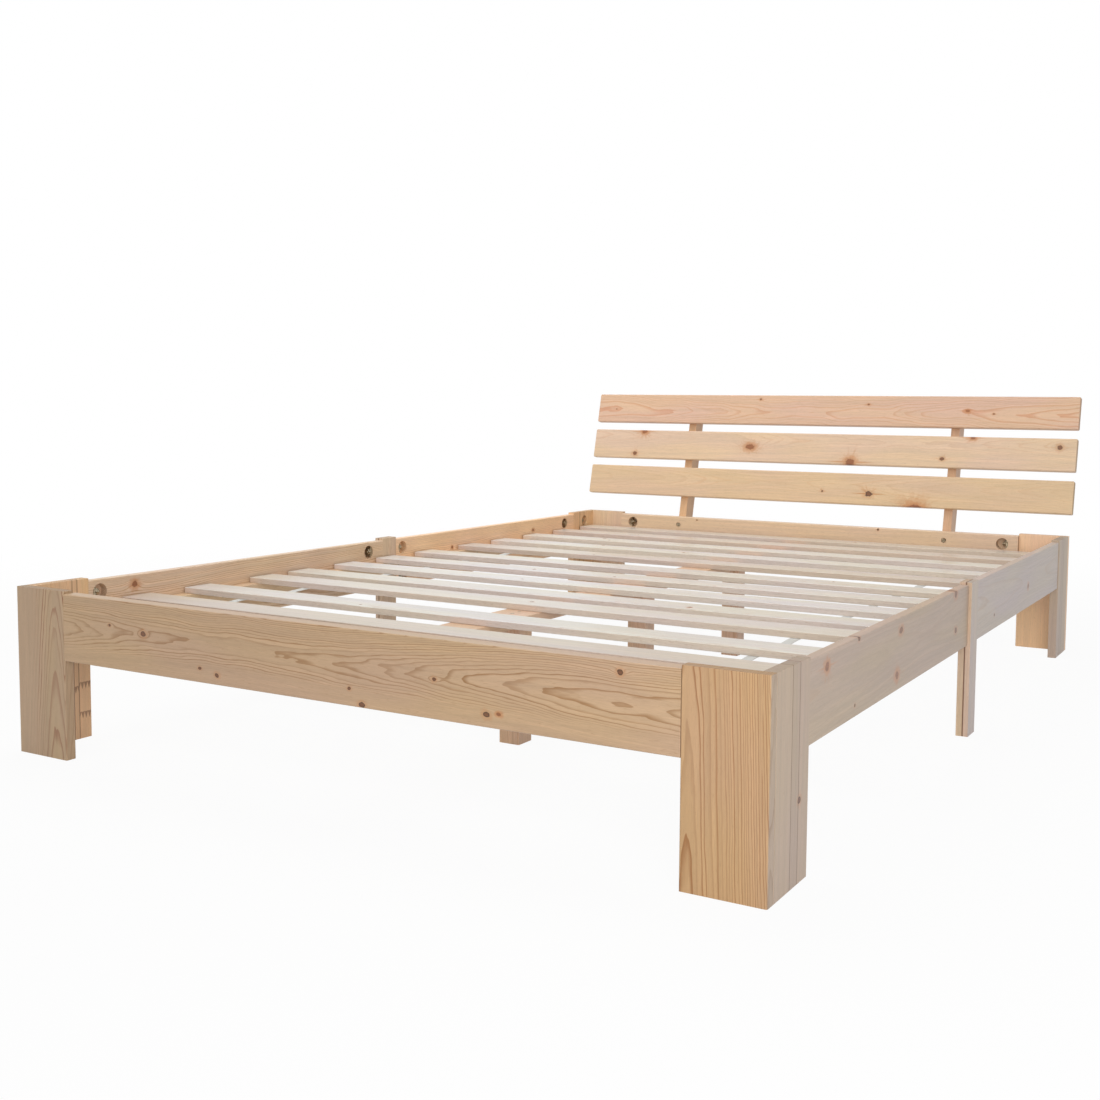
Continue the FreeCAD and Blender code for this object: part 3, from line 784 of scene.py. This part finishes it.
def dress_board(name, cut, seed, directions=None):
    """Makes a board's material and puts it on the board."""
    low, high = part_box(name)
    ways = directions or board_directions(low, high)
    dress(nodes[name], board_material(name, (low + high) / 2, ways, cut, seed))
    print(f"{name}: knots {len(cut.knots)}, seed {seed:.1f}")


print(f"{len(SEEDS)} kinds of boards with seeds of their own")

# %% [markdown]
# ## The wood of each part
#
# The legs and the foot rail are honey coloured with clear late wood, the slats are sapwood that
# is almost white, and the headboard is a little pink. Most values below are the colours of the
# wood itself, and the light that falls on it does the rest. The greyish and ashen woods hold
# painted reflection, the olive is partly painted shade, and one honey is painted light.

# %% Wood colours
HONEY = (0.65, 0.415, 0.25)
WHEAT = (0.53, 0.365, 0.23)
WHEAT_LATE = (0.27, 0.128, 0.036)
ORANGE = (0.525, 0.335, 0.18)
ORANGE_LATE = (0.29, 0.125, 0.04)
# Partly painted shade: the left foot leg's own olive tone, darkened further as if it lay further from
# the lamp.
OLIVE_WITH_PAINTED_SHADE = (0.475, 0.338, 0.21)
RUSSET_LATE = (0.25, 0.092, 0.04)
# Painted reflection: the greyish and ashen woods stand in for the white room reflected in the right-side
# faces, seen at a low angle.
GREYISH = (0.508, 0.40, 0.313)
GREYISH_LATE = (0.42, 0.28, 0.18)
ASHEN = (0.57, 0.495, 0.46)
INNER_LATE = (0.42, 0.22, 0.08)
# Painted light: a brightened honey that stands in for light falling on inner faces.
HONEY_WITH_PAINTED_LIGHT = (0.92, 0.64, 0.42)
RUDDY = (0.80, 0.545, 0.315)
REDDISH_LATE = (0.42, 0.18, 0.085)
CREAM = (0.66, 0.50, 0.36)
CREAM_LATE = (0.52, 0.31, 0.17)
CREAM_EDGE = (1.15, 1.0, 0.82)
BROWN = (0.72, 0.50, 0.35)
BROWN_LATE = (0.50, 0.28, 0.15)
SAP = (0.74, 0.725, 0.685)
HEART = (0.60, 0.49, 0.375)
SAP_LATE = (0.62, 0.47, 0.39)
SAP_EDGE = (0.95, 0.86, 0.82)
PEACH = (0.72, 0.54, 0.385)
PEACH_LATE = (0.60, 0.36, 0.20)
ROSE = (0.69, 0.475, 0.34)
ROSE_LATE = (0.58, 0.28, 0.16)
STRAW = (0.70, 0.515, 0.335)
print(f"palest wood {max(SAP):.2f}, darkest late wood {min(WHEAT_LATE):.3f}")

# %% [markdown]
# ## Foot and head rails
#
# The foot rail is the bed's face: a flat-sawn board with long arches that point to its middle,
# and ten small knots. Their places are measured along the rail from its middle and up or down
# from its centre line.

# %% Foot and head rails
foot_knots = (
    Knot(-489, 16, 2.1), Knot(-406, 8, 3.8), Knot(-273, -36, 2.1), Knot(-234, -44, 3.2),
    Knot(45, -32, 2.0), Knot(69, -55, 3.4), Knot(206, 0, 2.6), Knot(299, -41, 3.5),
    Knot(320, -38, 2.4, dead=0.3), Knot(517, 45, 3.4))
foot_cut = Cut(WHEAT, WHEAT_LATE, 0.85, pith=(4, 34), wander=8, bend=300, ring=3.2, taper=0.03,
               turn=-150, fade=(-22, -38), knots=foot_knots)
head_cut = Cut(PEACH, PEACH_LATE, 0.35, pith=(-30, -40), wander=8, ring=3.6,
               knots=(Knot(221, 56, 2.6), Knot(-345, 53, 1.6)))
dress_board("foot_rail", foot_cut, seed=1.7)
dress_board("head_rail", head_cut, seed=5.2)

# %% [markdown]
# ## End boards of the legs
#
# The near leg is sawn across the rings and shows straight lines; the far left one is sawn flat
# and shows arches. The near one also has a narrow strip glued to its edge, a shade darker.

# %% Corner legs, end boards
leg_cuts = {
    # The left foot leg's end board is darker partly for its own wood and partly as painted shade.
    "foot_left": Cut(OLIVE_WITH_PAINTED_SHADE, RUSSET_LATE, 0.95, pith=(38, 20), wander=3, ring=5.2, taper=0.08,
                     turn=420, fade=(8, -30)),
    # Painted reflection: the bluish tint on this board's narrow edges stands in for the white room
    # reflected in its right side.
    "foot_right": Cut(ORANGE, ORANGE_LATE, 0.95, pith=(-54, 12), wander=3, bend=500, ring=9.0,
                      narrowing=0.010, taper=0.03, turn=500, seams=(53, 900), seam_width=0.1,
                      strip_shift=0, strip_tone=0.96, edge=(0.88, 1.06, 1.46)),
    "head_left": Cut(PEACH, PEACH_LATE, 0.5, pith=(0, -44), ring=3.8),
    # Painted light: this end board's inner face is brightened with the painted-light honey.
    "head_right": Cut(HONEY_WITH_PAINTED_LIGHT, PEACH_LATE, 0.5, pith=(-100, -45), ring=4.2),
}
for index, (corner, cut) in enumerate(leg_cuts.items()):
    dress_board(f"{corner}_leg_end_board", cut, seed=seed_of("leg end board", index))

# %% [markdown]
# ## Side boards of the corner legs
#
# Each is glued from three strips, whose seams lie at fixed distances from the board's middle,
# the same at the head as at the foot but mirrored. On the left side of the bed the strips are
# finger-jointed low down, and the fingers show as a row of dark teeth.

# %% Corner legs, side boards
OUTER_SEAM = 23
MIDDLE_SEAM = -4
NARROW_STRIP_SEAM = 34
UPPER_JOINT = -44
MIDDLE_JOINT = -50
LOWER_JOINT = -101
for index, corner in enumerate(leg_cuts):
    left = corner.endswith("left")
    # Painted reflection: the right legs' side boards take the greyed wood.
    wood = (RUDDY, REDDISH_LATE) if left else (GREYISH, GREYISH_LATE)
    sign = 1 if corner.startswith("foot") else -1
    other_seam = NARROW_STRIP_SEAM if corner == "foot_left" else MIDDLE_SEAM
    seams = tuple(sorted((sign * other_seam, sign * OUTER_SEAM)))
    outer_strip = 2 if sign > 0 else 0
    joints = ((UPPER_JOINT, outer_strip), (LOWER_JOINT, outer_strip), (MIDDLE_JOINT, 1))
    knots = (Knot(-37, 27, 4.2),) if corner == "foot_right" else ()
    side_cut = Cut(*wood, 0.8, pith=(sign * 70, 60), wander=4, bend=900, ring=3.4, seams=seams,
                   seam_width=1.3, fingers=joints if left else (), knots=knots)
    dress_board(f"{corner}_leg_side_board", side_cut, seed=seed_of("leg side board", index))

# %% [markdown]
# ## Middle legs
#
# Two thin layers glued face to face. The glue line shows on the narrow front edge, so each layer
# carries a dark line just inside the face that it is glued by.

# %% Middle legs
GLUE_DEPTH = 0.4
MIDDLE_LEG_SEED = 40
SIDE_SEED_STEP = 3
LAYER_SEED_STEP = 1.7
BEYOND_BOARD = 900
for side_index, side in enumerate(("left", "right")):
    for layer_index, layer in enumerate(("inner", "outer")):
        name = f"mid_{side}_leg_{layer}_layer"
        low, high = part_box(name)
        glued_face = (high.x - low.x) / MM / 2 - GLUE_DEPTH
        glued_on_the_right = (side == "right") == (layer == "inner")
        seams = (glued_face, BEYOND_BOARD) if glued_on_the_right else (-BEYOND_BOARD, -glued_face)
        # Painted reflection: the right outer layer's broad face takes the ashen wood, and its narrow
        # edges keep a warmer cream.
        early, edge = (ASHEN, CREAM_EDGE) if (side, layer) == ("right", "outer") else (CREAM, (1, 1, 1))
        cut = Cut(early, CREAM_LATE, 0.6, pith=(60 * layer_index, 40), wander=4, ring=3.2,
                  seams=seams, seam_axis="through", seam_width=1.5, strip_shift=0, edge=edge)
        seed = MIDDLE_LEG_SEED + side_index * SIDE_SEED_STEP + layer_index * LAYER_SEED_STEP
        dress_board(name, cut, seed=seed)

# %% [markdown]
# ## Side rails
#
# Four boards, two on each side. The outer faces show a few small knots; the near right one has
# a knot close to the leg that pulls the grain into an eye.

# %% Side rails
side_rail_knots = {
    ("right", "front"): (
        Knot(-365, 39, 6.4, dead=0.3, streak=0.6), Knot(-226, 57, 3.2), Knot(-10, 38, 5.0, dead=0.6),
        Knot(-28, -34, 6.8, dead=0.3, streak=0.3), Knot(339, 55, 6.2, dead=0.6),
        Knot(344, -15, 4.4, dead=0.8), Knot(-240, -42, 2.0)),
    ("right", "rear"): (Knot(72, -9, 5.0, dead=0.5), Knot(-265, -30, 2.4)),
    ("left", "front"): (Knot(-328, 41, 6.0, dead=0.3, streak=0.3), Knot(120, 10, 2.4)),
    ("left", "rear"): (Knot(-199, 17, 3.2, dead=0.4), Knot(203, 30, 3.6, dead=0.4)),
}
for index, ((side, half), knots) in enumerate(side_rail_knots.items()):
    front = half == "front"
    if side == "right":
        # Painted reflection: the right rails take the greyed wood, ashen for the rear one.
        cut = Cut(GREYISH if front else ASHEN, GREYISH_LATE, 0.36, pith=(8, -34), wander=6,
                  bend=260, ring=7.0, taper=0.03, turn=120, knots=knots, edge=(1, 0.94, 0.9))
    else:
        # Painted light: the rear left rail's inner face is brightened with the painted-light honey.
        cut = Cut(PEACH if front else HONEY_WITH_PAINTED_LIGHT, INNER_LATE, 0.85 if front else 0.55,
                  pith=(-30, -50), wander=8, bend=380, ring=4.4, taper=0.02, turn=-300, knots=knots)
    dress_board(f"side_rail_{side}_{half}", cut, seed=seed_of("side rail", index))
    ledger_cut = Cut(STRAW, CREAM_LATE, 0.5, pith=(30, 20), ring=2.8)
    dress_board(f"ledger_{side}_{half}", ledger_cut, seed=seed_of("ledger", index))

# %% [markdown]
# ## Slats
#
# Thirteen thin boards of sapwood. Each has its own seed, and the seed also moves the pith, so
# that some slats show arches and others straight lines. A few were sawn closer to the heart of
# the log and are browner: how much is read off the photograph, and all the rest is drawn by
# lot from the ranges below, always with the same first number, so that each run is the same.
# The second slat's share also holds painted shade, for the foot rail's shadow on it.

# %% Slats
SLAT_DRAW = 7
COLOUR_DEPTHS = (0.95, 1.03)
LESS_GREEN = 0.012
LESS_BLUE = 0.045
PITH_SIDEWAYS = (-60, 60)
PITH_BELOW = (25, 80)
KNOT_COUNTS = (0, 1, 1, 2)
KNOTS_ALONG = (-620, 620)
KNOTS_ACROSS = (-26, 26)
KNOT_RADII = (1.6, 3.4)
KNOT_DEADNESS = (0.4, 1)
RING_WIDTHS = (2.4, 3.6)
TAPERS = (0.015, 0.04)
TURNS = (-500, 500)
# Painted shade: slat_02's share also darkens it for the shadow of the foot rail.
heart_and_shade_shares = {"slat_02": 0.6, "slat_04": 0.25, "slat_07": 0.15, "slat_09": 0.5, "slat_12": 0.6,
                "slat_13": 0.4}
pick = random.Random(SLAT_DRAW)
for name in sorted(nodes):
    if name.startswith("slat_"):
        warmth = pick.uniform(-1, 1)
        depth = pick.uniform(*COLOUR_DEPTHS)
        early = Vector(SAP).lerp(Vector(HEART), heart_and_shade_shares.get(name, 0)) * depth
        early.y *= 1 - LESS_GREEN * warmth
        early.z *= 1 - LESS_BLUE * warmth
        pith = (pick.uniform(*PITH_SIDEWAYS), -pick.uniform(*PITH_BELOW))
        knots = [Knot(pick.uniform(*KNOTS_ALONG), pick.uniform(*KNOTS_ACROSS),
                      pick.uniform(*KNOT_RADII), dead=pick.uniform(*KNOT_DEADNESS))
                 for knot in range(pick.choice(KNOT_COUNTS))]
        cut = Cut(early, SAP_LATE, 0.6, pith=pith, wander=6, ring=pick.uniform(*RING_WIDTHS),
                  taper=pick.uniform(*TAPERS), turn=pick.uniform(*TURNS), knots=knots,
                  edge=SAP_EDGE, dullness=0.27)
        dress_board(name, cut, seed=pick.uniform(0, 90))

# %% [markdown]
# ## Beam, posts and cleats
#
# Hidden strength: a flat board under the slats, three posts and a block at each end. They are
# from a browner stack than the rest and are hardly seen, but they show from below.

# %% Beam, posts and cleats
brown_cut = Cut(BROWN, BROWN_LATE, 0.6, pith=(20, 30), ring=3.2)
for index, name in enumerate(("centre_beam_front", "centre_beam_rear", "centre_post_front",
                              "centre_post_middle", "centre_post_rear", "beam_cleat_foot",
                              "beam_cleat_head")):
    dress_board(name, brown_cut, seed=seed_of("hidden board", index))

# %% [markdown]
# ## Headboard
#
# The three leaning boards carry the largest knots, and resin runs from some of them along the
# grain. Their directions are given by the lean, so that the rings stay square to the boards.

# %% Headboard
LEAN = math.radians(13.2)
UP_LEAN = Vector((0, math.sin(LEAN), math.cos(LEAN)))
BACK_LEAN = Vector((0, math.cos(LEAN), -math.sin(LEAN)))
headboard_cuts = {
    "lower": Cut(STRAW, PEACH_LATE, 0.42, pith=(10, 30), wander=6, bend=260, ring=4.6, taper=0.04,
                 turn=-100, knots=(Knot(41, -11, 2.4, streak=1.0), Knot(181, -13, 6.4, streak=1.0),
                                   Knot(316, -50, 12.5, dead=0.1, streak=0.6))),
    "middle": Cut(PEACH, PEACH_LATE, 0.42, pith=(24, 36), wander=6, bend=260, ring=3.4, taper=0.03,
                  turn=240, knots=(Knot(-590, -30, 5.4, dead=0.7, streak=0.3),
                                   Knot(-564, 40, 6.4, dead=0.05, streak=0.8, arcs=0.5),
                                   Knot(-200, 0, 8.0, dead=0.25, streak=0.15, arcs=1.0),
                                   Knot(116, -37, 10.5, dead=0.25, streak=0.8, arcs=0.5),
                                   Knot(382, -20, 4.0, dead=0.8, streak=0.5),
                                   Knot(463, 42, 4.4, dead=0.1, streak=1.0, arcs=0.8),
                                   Knot(696, 20, 5.6, dead=0.8, streak=0.4))),
    "upper": Cut(ROSE, ROSE_LATE, 0.8, pith=(-6, 22), wander=7, bend=120, ring=5.0, taper=0.045,
                 turn=-40, knots=(Knot(-182, 32, 2.6, dead=0.6, streak=1.0),
                                  Knot(155, 19, 2.2, dead=0.5, streak=1.0),
                                  Knot(442, 3, 3.5, dead=0.0, streak=0.8),
                                  Knot(-675, -3, 1.2), Knot(514, -5, 1.8, dead=0.4, streak=0.5))),
}
for index, (name, cut) in enumerate(headboard_cuts.items()):
    dress_board(f"headboard_slat_{name}", cut, seed=seed_of("headboard slat", index),
                directions=(SIDEWAYS, UP_LEAN, BACK_LEAN))
upright_cut = Cut(HONEY, PEACH_LATE, 0.5, pith=(30, 20), ring=3.0)
for index, side in enumerate(("left", "right")):
    dress_board(f"headboard_upright_{side}", upright_cut, seed=seed_of("upright", index),
                directions=(UP_LEAN, SIDEWAYS, BACK_LEAN))

# %% [markdown]
# ## Zinc plated fittings
#
# Screws, rods and nuts are plated steel: a dull straw-brown with a fine mottle, darker where
# the workshop's oil stayed on. A noise drives both tint and roughness, and a short wave along
# the rods gives threads.

# %% Zinc fittings
THREAD_PITCH = 1.25
ZINC_DEPTH = 0.5 * MM
ZINC_RELIEF = 0.5
MOTTLE_FINENESS = 0.35
MOTTLE_EDGE = (0.38, 0.62)
OILY_ZINC = (0.20, 0.15, 0.09, 1)
CLEAN_ZINC = (0.52, 0.45, 0.33, 1)
ZINC_ROUGHNESS = (0.22, 0.60)


def point_in_mm(net):
    """The point of the bed that is being coloured, in millimetres."""
    return net.vector("SCALE", net.node("ShaderNodeTexCoord").outputs["Object"], scale=1 / MM)


def zinc_material(name, threads=False):
    material, net, shader = new_material(name)
    point = point_in_mm(net)
    mottle = net.noise(net.vector("SCALE", point, scale=MOTTLE_FINENESS), detail=4.0)
    patches = net.step(mottle, *MOTTLE_EDGE)
    net.join(net.mix(patches, OILY_ZINC, CLEAN_ZINC), shader.inputs["Base Color"])
    net.join(net.between(mottle, *ZINC_ROUGHNESS), shader.inputs["Roughness"])
    shader.inputs["Metallic"].default_value = 1.0
    height = mottle
    if threads:
        across, along, _ = net.separate(point)
        height = net.math("PINGPONG", net.add(across, along), THREAD_PITCH / 2)
    net.bump(height, ZINC_RELIEF, ZINC_DEPTH, shader)
    return material


plain_zinc = zinc_material("zinc_plated")
threaded_zinc = zinc_material("zinc_plated_thread", threads=True)
PLAIN_FITTINGS = ("connector_nuts", "connector_saddles", "headboard_bolts", "headboard_nuts",
                  "ledger_screws", "cleat_screws", "beam_screws", "headboard_screws")
dress(nodes["connector_rods"], threaded_zinc)
for name in PLAIN_FITTINGS:
    dress(nodes[name], plain_zinc)
print(f"{len(PLAIN_FITTINGS)} kinds of plain fittings, 1 kind with threads")

# %% [markdown]
# ## Webbing
#
# Two woven white tapes run under the slats and hold them apart. The weave is two crossed
# waves: where a weft thread passes over, the tape is higher, and between the threads a
# painted shade darkens it. Pictures of cloth could do the same, but would blur close up.

# %% Webbing material
WARP_HALF = 0.8
WEFT_HALF = 1.1
WARP_SLANT = 0.4
SOIL_FINENESS = 0.02
SOIL_SHARE = 0.3
# Painted shade between the threads of the weave.
WEAVE_SHADE = (0.60, 0.60, 0.57, 1)
THREAD_WHITE = (0.86, 0.86, 0.83, 1)
THREAD_SOIL = (0.62, 0.58, 0.5, 1)
WEBBING_ROUGHNESS = (0.9, 0.7)
WEBBING_SHEEN = 0.2
WEAVE_RELIEF = 0.6
WEAVE_DEPTH = 0.4 * MM


def webbing_material():
    material, net, shader = new_material("white_webbing")
    point = point_in_mm(net)
    across, along, _ = net.separate(point)
    warp = net.math("PINGPONG", net.add(across, net.times(along, WARP_SLANT)), WARP_HALF)
    weft = net.math("PINGPONG", along, WEFT_HALF)
    weave = net.times(warp, weft)
    soil = net.noise(net.vector("SCALE", point, scale=SOIL_FINENESS), detail=3.0)
    # Painted shade: the tape is darker between the threads, following the weave's height.
    shaded_weave = net.mix(weave, WEAVE_SHADE, THREAD_WHITE)
    net.join(net.mix(net.times(soil, SOIL_SHARE), shaded_weave, THREAD_SOIL), shader.inputs["Base Color"])
    net.join(net.between(weave, *WEBBING_ROUGHNESS), shader.inputs["Roughness"])
    shader.inputs["Sheen Weight"].default_value = WEBBING_SHEEN
    net.bump(weave, WEAVE_RELIEF, WEAVE_DEPTH, shader)
    return material


white_webbing = webbing_material()
print(f"{white_webbing.name}: {len(white_webbing.node_tree.nodes)} nodes")

# %% [markdown]
# ## Webbing strips
#
# On the real bed each tape is stapled under every slat and sags a little between them. A flat
# box would hide that, so the tape is a strip of cross sections whose height follows the slats:
# flat below each, slack in each gap.

# %% Heights of the webbing
STRAP_SAG = 2.2 * MM
STRAP_STEPS = 12
slat_boxes = [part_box(name) for name in sorted(nodes) if name.startswith("slat_")]


def strap_heights(top):
    """Pairs of a place along the bed and the strap's top there: flat under slats, slack between."""
    stations = []
    for (low, high), (next_low, _) in zip(slat_boxes, slat_boxes[1:]):
        stations.append((low.y, top))
        for step in range(STRAP_STEPS + 1):
            share = step / STRAP_STEPS
            sag = STRAP_SAG * math.sin(math.pi * share) ** 2
            stations.append((high.y + share * (next_low.y - high.y), top - sag))
    stations.append((slat_boxes[-1][1].y, top))
    return stations


print(f"{len(strap_heights(0.0))} cross sections under {len(slat_boxes)} slats")

# %% [markdown]
# ## The tape's cross section
#
# A woven tape is thinner at its selvedges. Six corners are enough to show that, and a sweep of
# them through all the heights gives one closed mesh. Each tape takes the place of the plain
# strap in the frame, which is hidden.

# %% Webbing strips
SELVEDGE_SHARE = 0.35


def strap_section(low, high):
    """The corners of the tape's cross section, sideways and down from its top."""
    thickness = high.z - low.z
    half = (high.x - low.x) / 2
    edge = thickness * SELVEDGE_SHARE
    return [(-half, -thickness / 2), (-half + edge, 0), (half - edge, 0), (half, -thickness / 2),
            (half - edge, -thickness), (-half + edge, -thickness)]


def make_strap(side, material):
    """One tape: a closed strip with thin edges, swept under the slats."""
    low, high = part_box(f"strap_{side}")
    middle = (high.x + low.x) / 2
    section = strap_section(low, high)
    mesh = bmesh.new()
    rows = []
    for place, top in strap_heights(high.z):
        rows.append([mesh.verts.new((middle + x, place, top + z)) for x, z in section])
    for row, next_row in zip(rows, rows[1:]):
        for index in range(len(section)):
            following = (index + 1) % len(section)
            mesh.faces.new((row[index], next_row[index], next_row[following], row[following]))
    mesh.faces.new(rows[0])
    mesh.faces.new(reversed(rows[-1]))
    bmesh.ops.recalc_face_normals(mesh, faces=mesh.faces)
    data = bpy.data.meshes.new(f"webbing_{side}")
    mesh.to_mesh(data)
    mesh.free()
    strap = bpy.data.objects.new(f"webbing_{side}", data)
    bpy.context.scene.collection.objects.link(strap)
    dress(strap, material)
    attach(strap, "root")
    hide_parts(f"strap_{side}")
    return strap


for side in ("left", "right"):
    strap = make_strap(side, white_webbing)
    print(f"{strap.name}: {len(strap.data.polygons)} faces")

# %% [markdown]
# ## Floor and backdrop
#
# The bed stands on a white sweep. A real floor alone would go grey towards the horizon, so the
# camera sees it mixed with plain white, more of it the further away it lies, and the soft
# shadow under the bed stays. Only what the camera and mirrors see is mixed, so the floor still
# sends its own light back to the bed.

# %% Floor
FLOOR_REACH = 60.0
FLOOR_NEAR = 1.4
FLOOR_FAR = 3.4
FLOOR_WHITE = 0.94
FLOOR_ROUGHNESS = 0.9
FLOOR_GLOSS = 0.1
FLOOR_PALE = (0.80, 0.80, 0.80, 1)
FLOOR_PALER = (0.84, 0.84, 0.84, 1)
WHITE = (1, 1, 1, 1)


def seen_share(net):
    """1 where the camera or a mirror looks, 0 where only light bounces."""
    light_path = net.node("ShaderNodeLightPath").outputs
    return net.larger(light_path["Is Camera Ray"], light_path["Is Glossy Ray"],
                      light_path["Is Transmission Ray"])


def floor_material():
    material, net, shader = new_material("white_floor")
    point = net.node("ShaderNodeTexCoord").outputs["Object"]
    net.join(net.mix(net.noise(point), FLOOR_PALE, FLOOR_PALER), shader.inputs["Base Color"])
    shader.inputs["Roughness"].default_value = FLOOR_ROUGHNESS
    shader.inputs["Specular IOR Level"].default_value = FLOOR_GLOSS
    away = net.step(net.vector("LENGTH", point), FLOOR_NEAR, FLOOR_FAR)
    glow = net.node("ShaderNodeEmission")
    glow.inputs["Color"].default_value = WHITE
    mixed = net.node("ShaderNodeMixShader")
    net.join(net.times(seen_share(net), net.between(away, FLOOR_WHITE, 1.0)), mixed.inputs[0])
    net.join(shader.outputs[0], mixed.inputs[1])
    net.join(glow.outputs[0], mixed.inputs[2])
    net.join(mixed.outputs[0], material.node_tree.nodes["Material Output"].inputs["Surface"])
    return material


floor_data = bpy.data.meshes.new("floor")
corners = [(x * FLOOR_REACH, y * FLOOR_REACH, 0) for x, y in ((-1, -1), (1, -1), (1, 1), (-1, 1))]
floor_data.from_pydata(corners, [], [(0, 1, 2, 3)])
floor = bpy.data.objects.new("floor", floor_data)
bpy.context.scene.collection.objects.link(floor)
dress(floor, floor_material())
print(f"floor {2 * FLOOR_REACH:.0f} m wide")

# %% [markdown]
# ## The white room
#
# A pale world fills the shadows from all sides, as the walls of a white studio do. Seen
# directly or in a mirror it is plain white, so the backdrop has no horizon.

# %% World
WORLD_LIGHT = 0.38
world = bpy.data.worlds.new("white_room")
bpy.context.scene.world = world
world.use_nodes = True
net = Net(world.node_tree)
background = world.node_tree.nodes["Background"]
background.inputs["Color"].default_value = WHITE
net.join(net.between(seen_share(net), WORLD_LIGHT, 1.0), background.inputs["Strength"])
print(f"world light {WORLD_LIGHT}")

# %% [markdown]
# ## Lamps
#
# One lamp from the front shapes the near boards, one above brightens the slats, and an even
# light from the front, without falloff, lets the headboard stand as bright as the foot.
# Stronger lamps would make a livelier picture, but pale slats would then clip to white.

# %% Lamps
SUN_STRENGTH = 0.6
SUN_SPREAD = math.radians(50)
SUN_DIRECTION = Vector((-0.3, 1.0, -0.42))


def add_light(name, kind, direction, energy):
    """A lamp of a kind that shines in a direction."""
    data = bpy.data.lights.new(name, kind)
    data.energy = energy
    made = bpy.data.objects.new(name, data)
    bpy.context.scene.collection.objects.link(made)
    made.rotation_euler = direction.to_track_quat("-Z", "Y").to_euler()
    print(f"{name}: {energy:g}")
    return made


def add_lamp(name, place, target, size, power):
    """A square soft lamp that faces a point."""
    made = add_light(name, "AREA", Vector(target) - Vector(place), power)
    made.data.shape = "SQUARE"
    made.data.size = size
    made.location = place


add_lamp("lamp_front", place=(1.7, -2.5, 1.0), target=(0.5, -1.0, 0.2), size=1.0, power=20)
add_lamp("lamp_above", place=(-0.7, 0.1, 2.5), target=(-0.3, 0.3, 0.2), size=2.0, power=34)
sun = add_light("lamp_even", "SUN", SUN_DIRECTION, SUN_STRENGTH)
sun.data.angle = SUN_SPREAD
bpy.context.scene.view_settings.view_transform = "Standard"

# %% [markdown]
# ## Sizes
#
# Dressing the bed must not change its size.
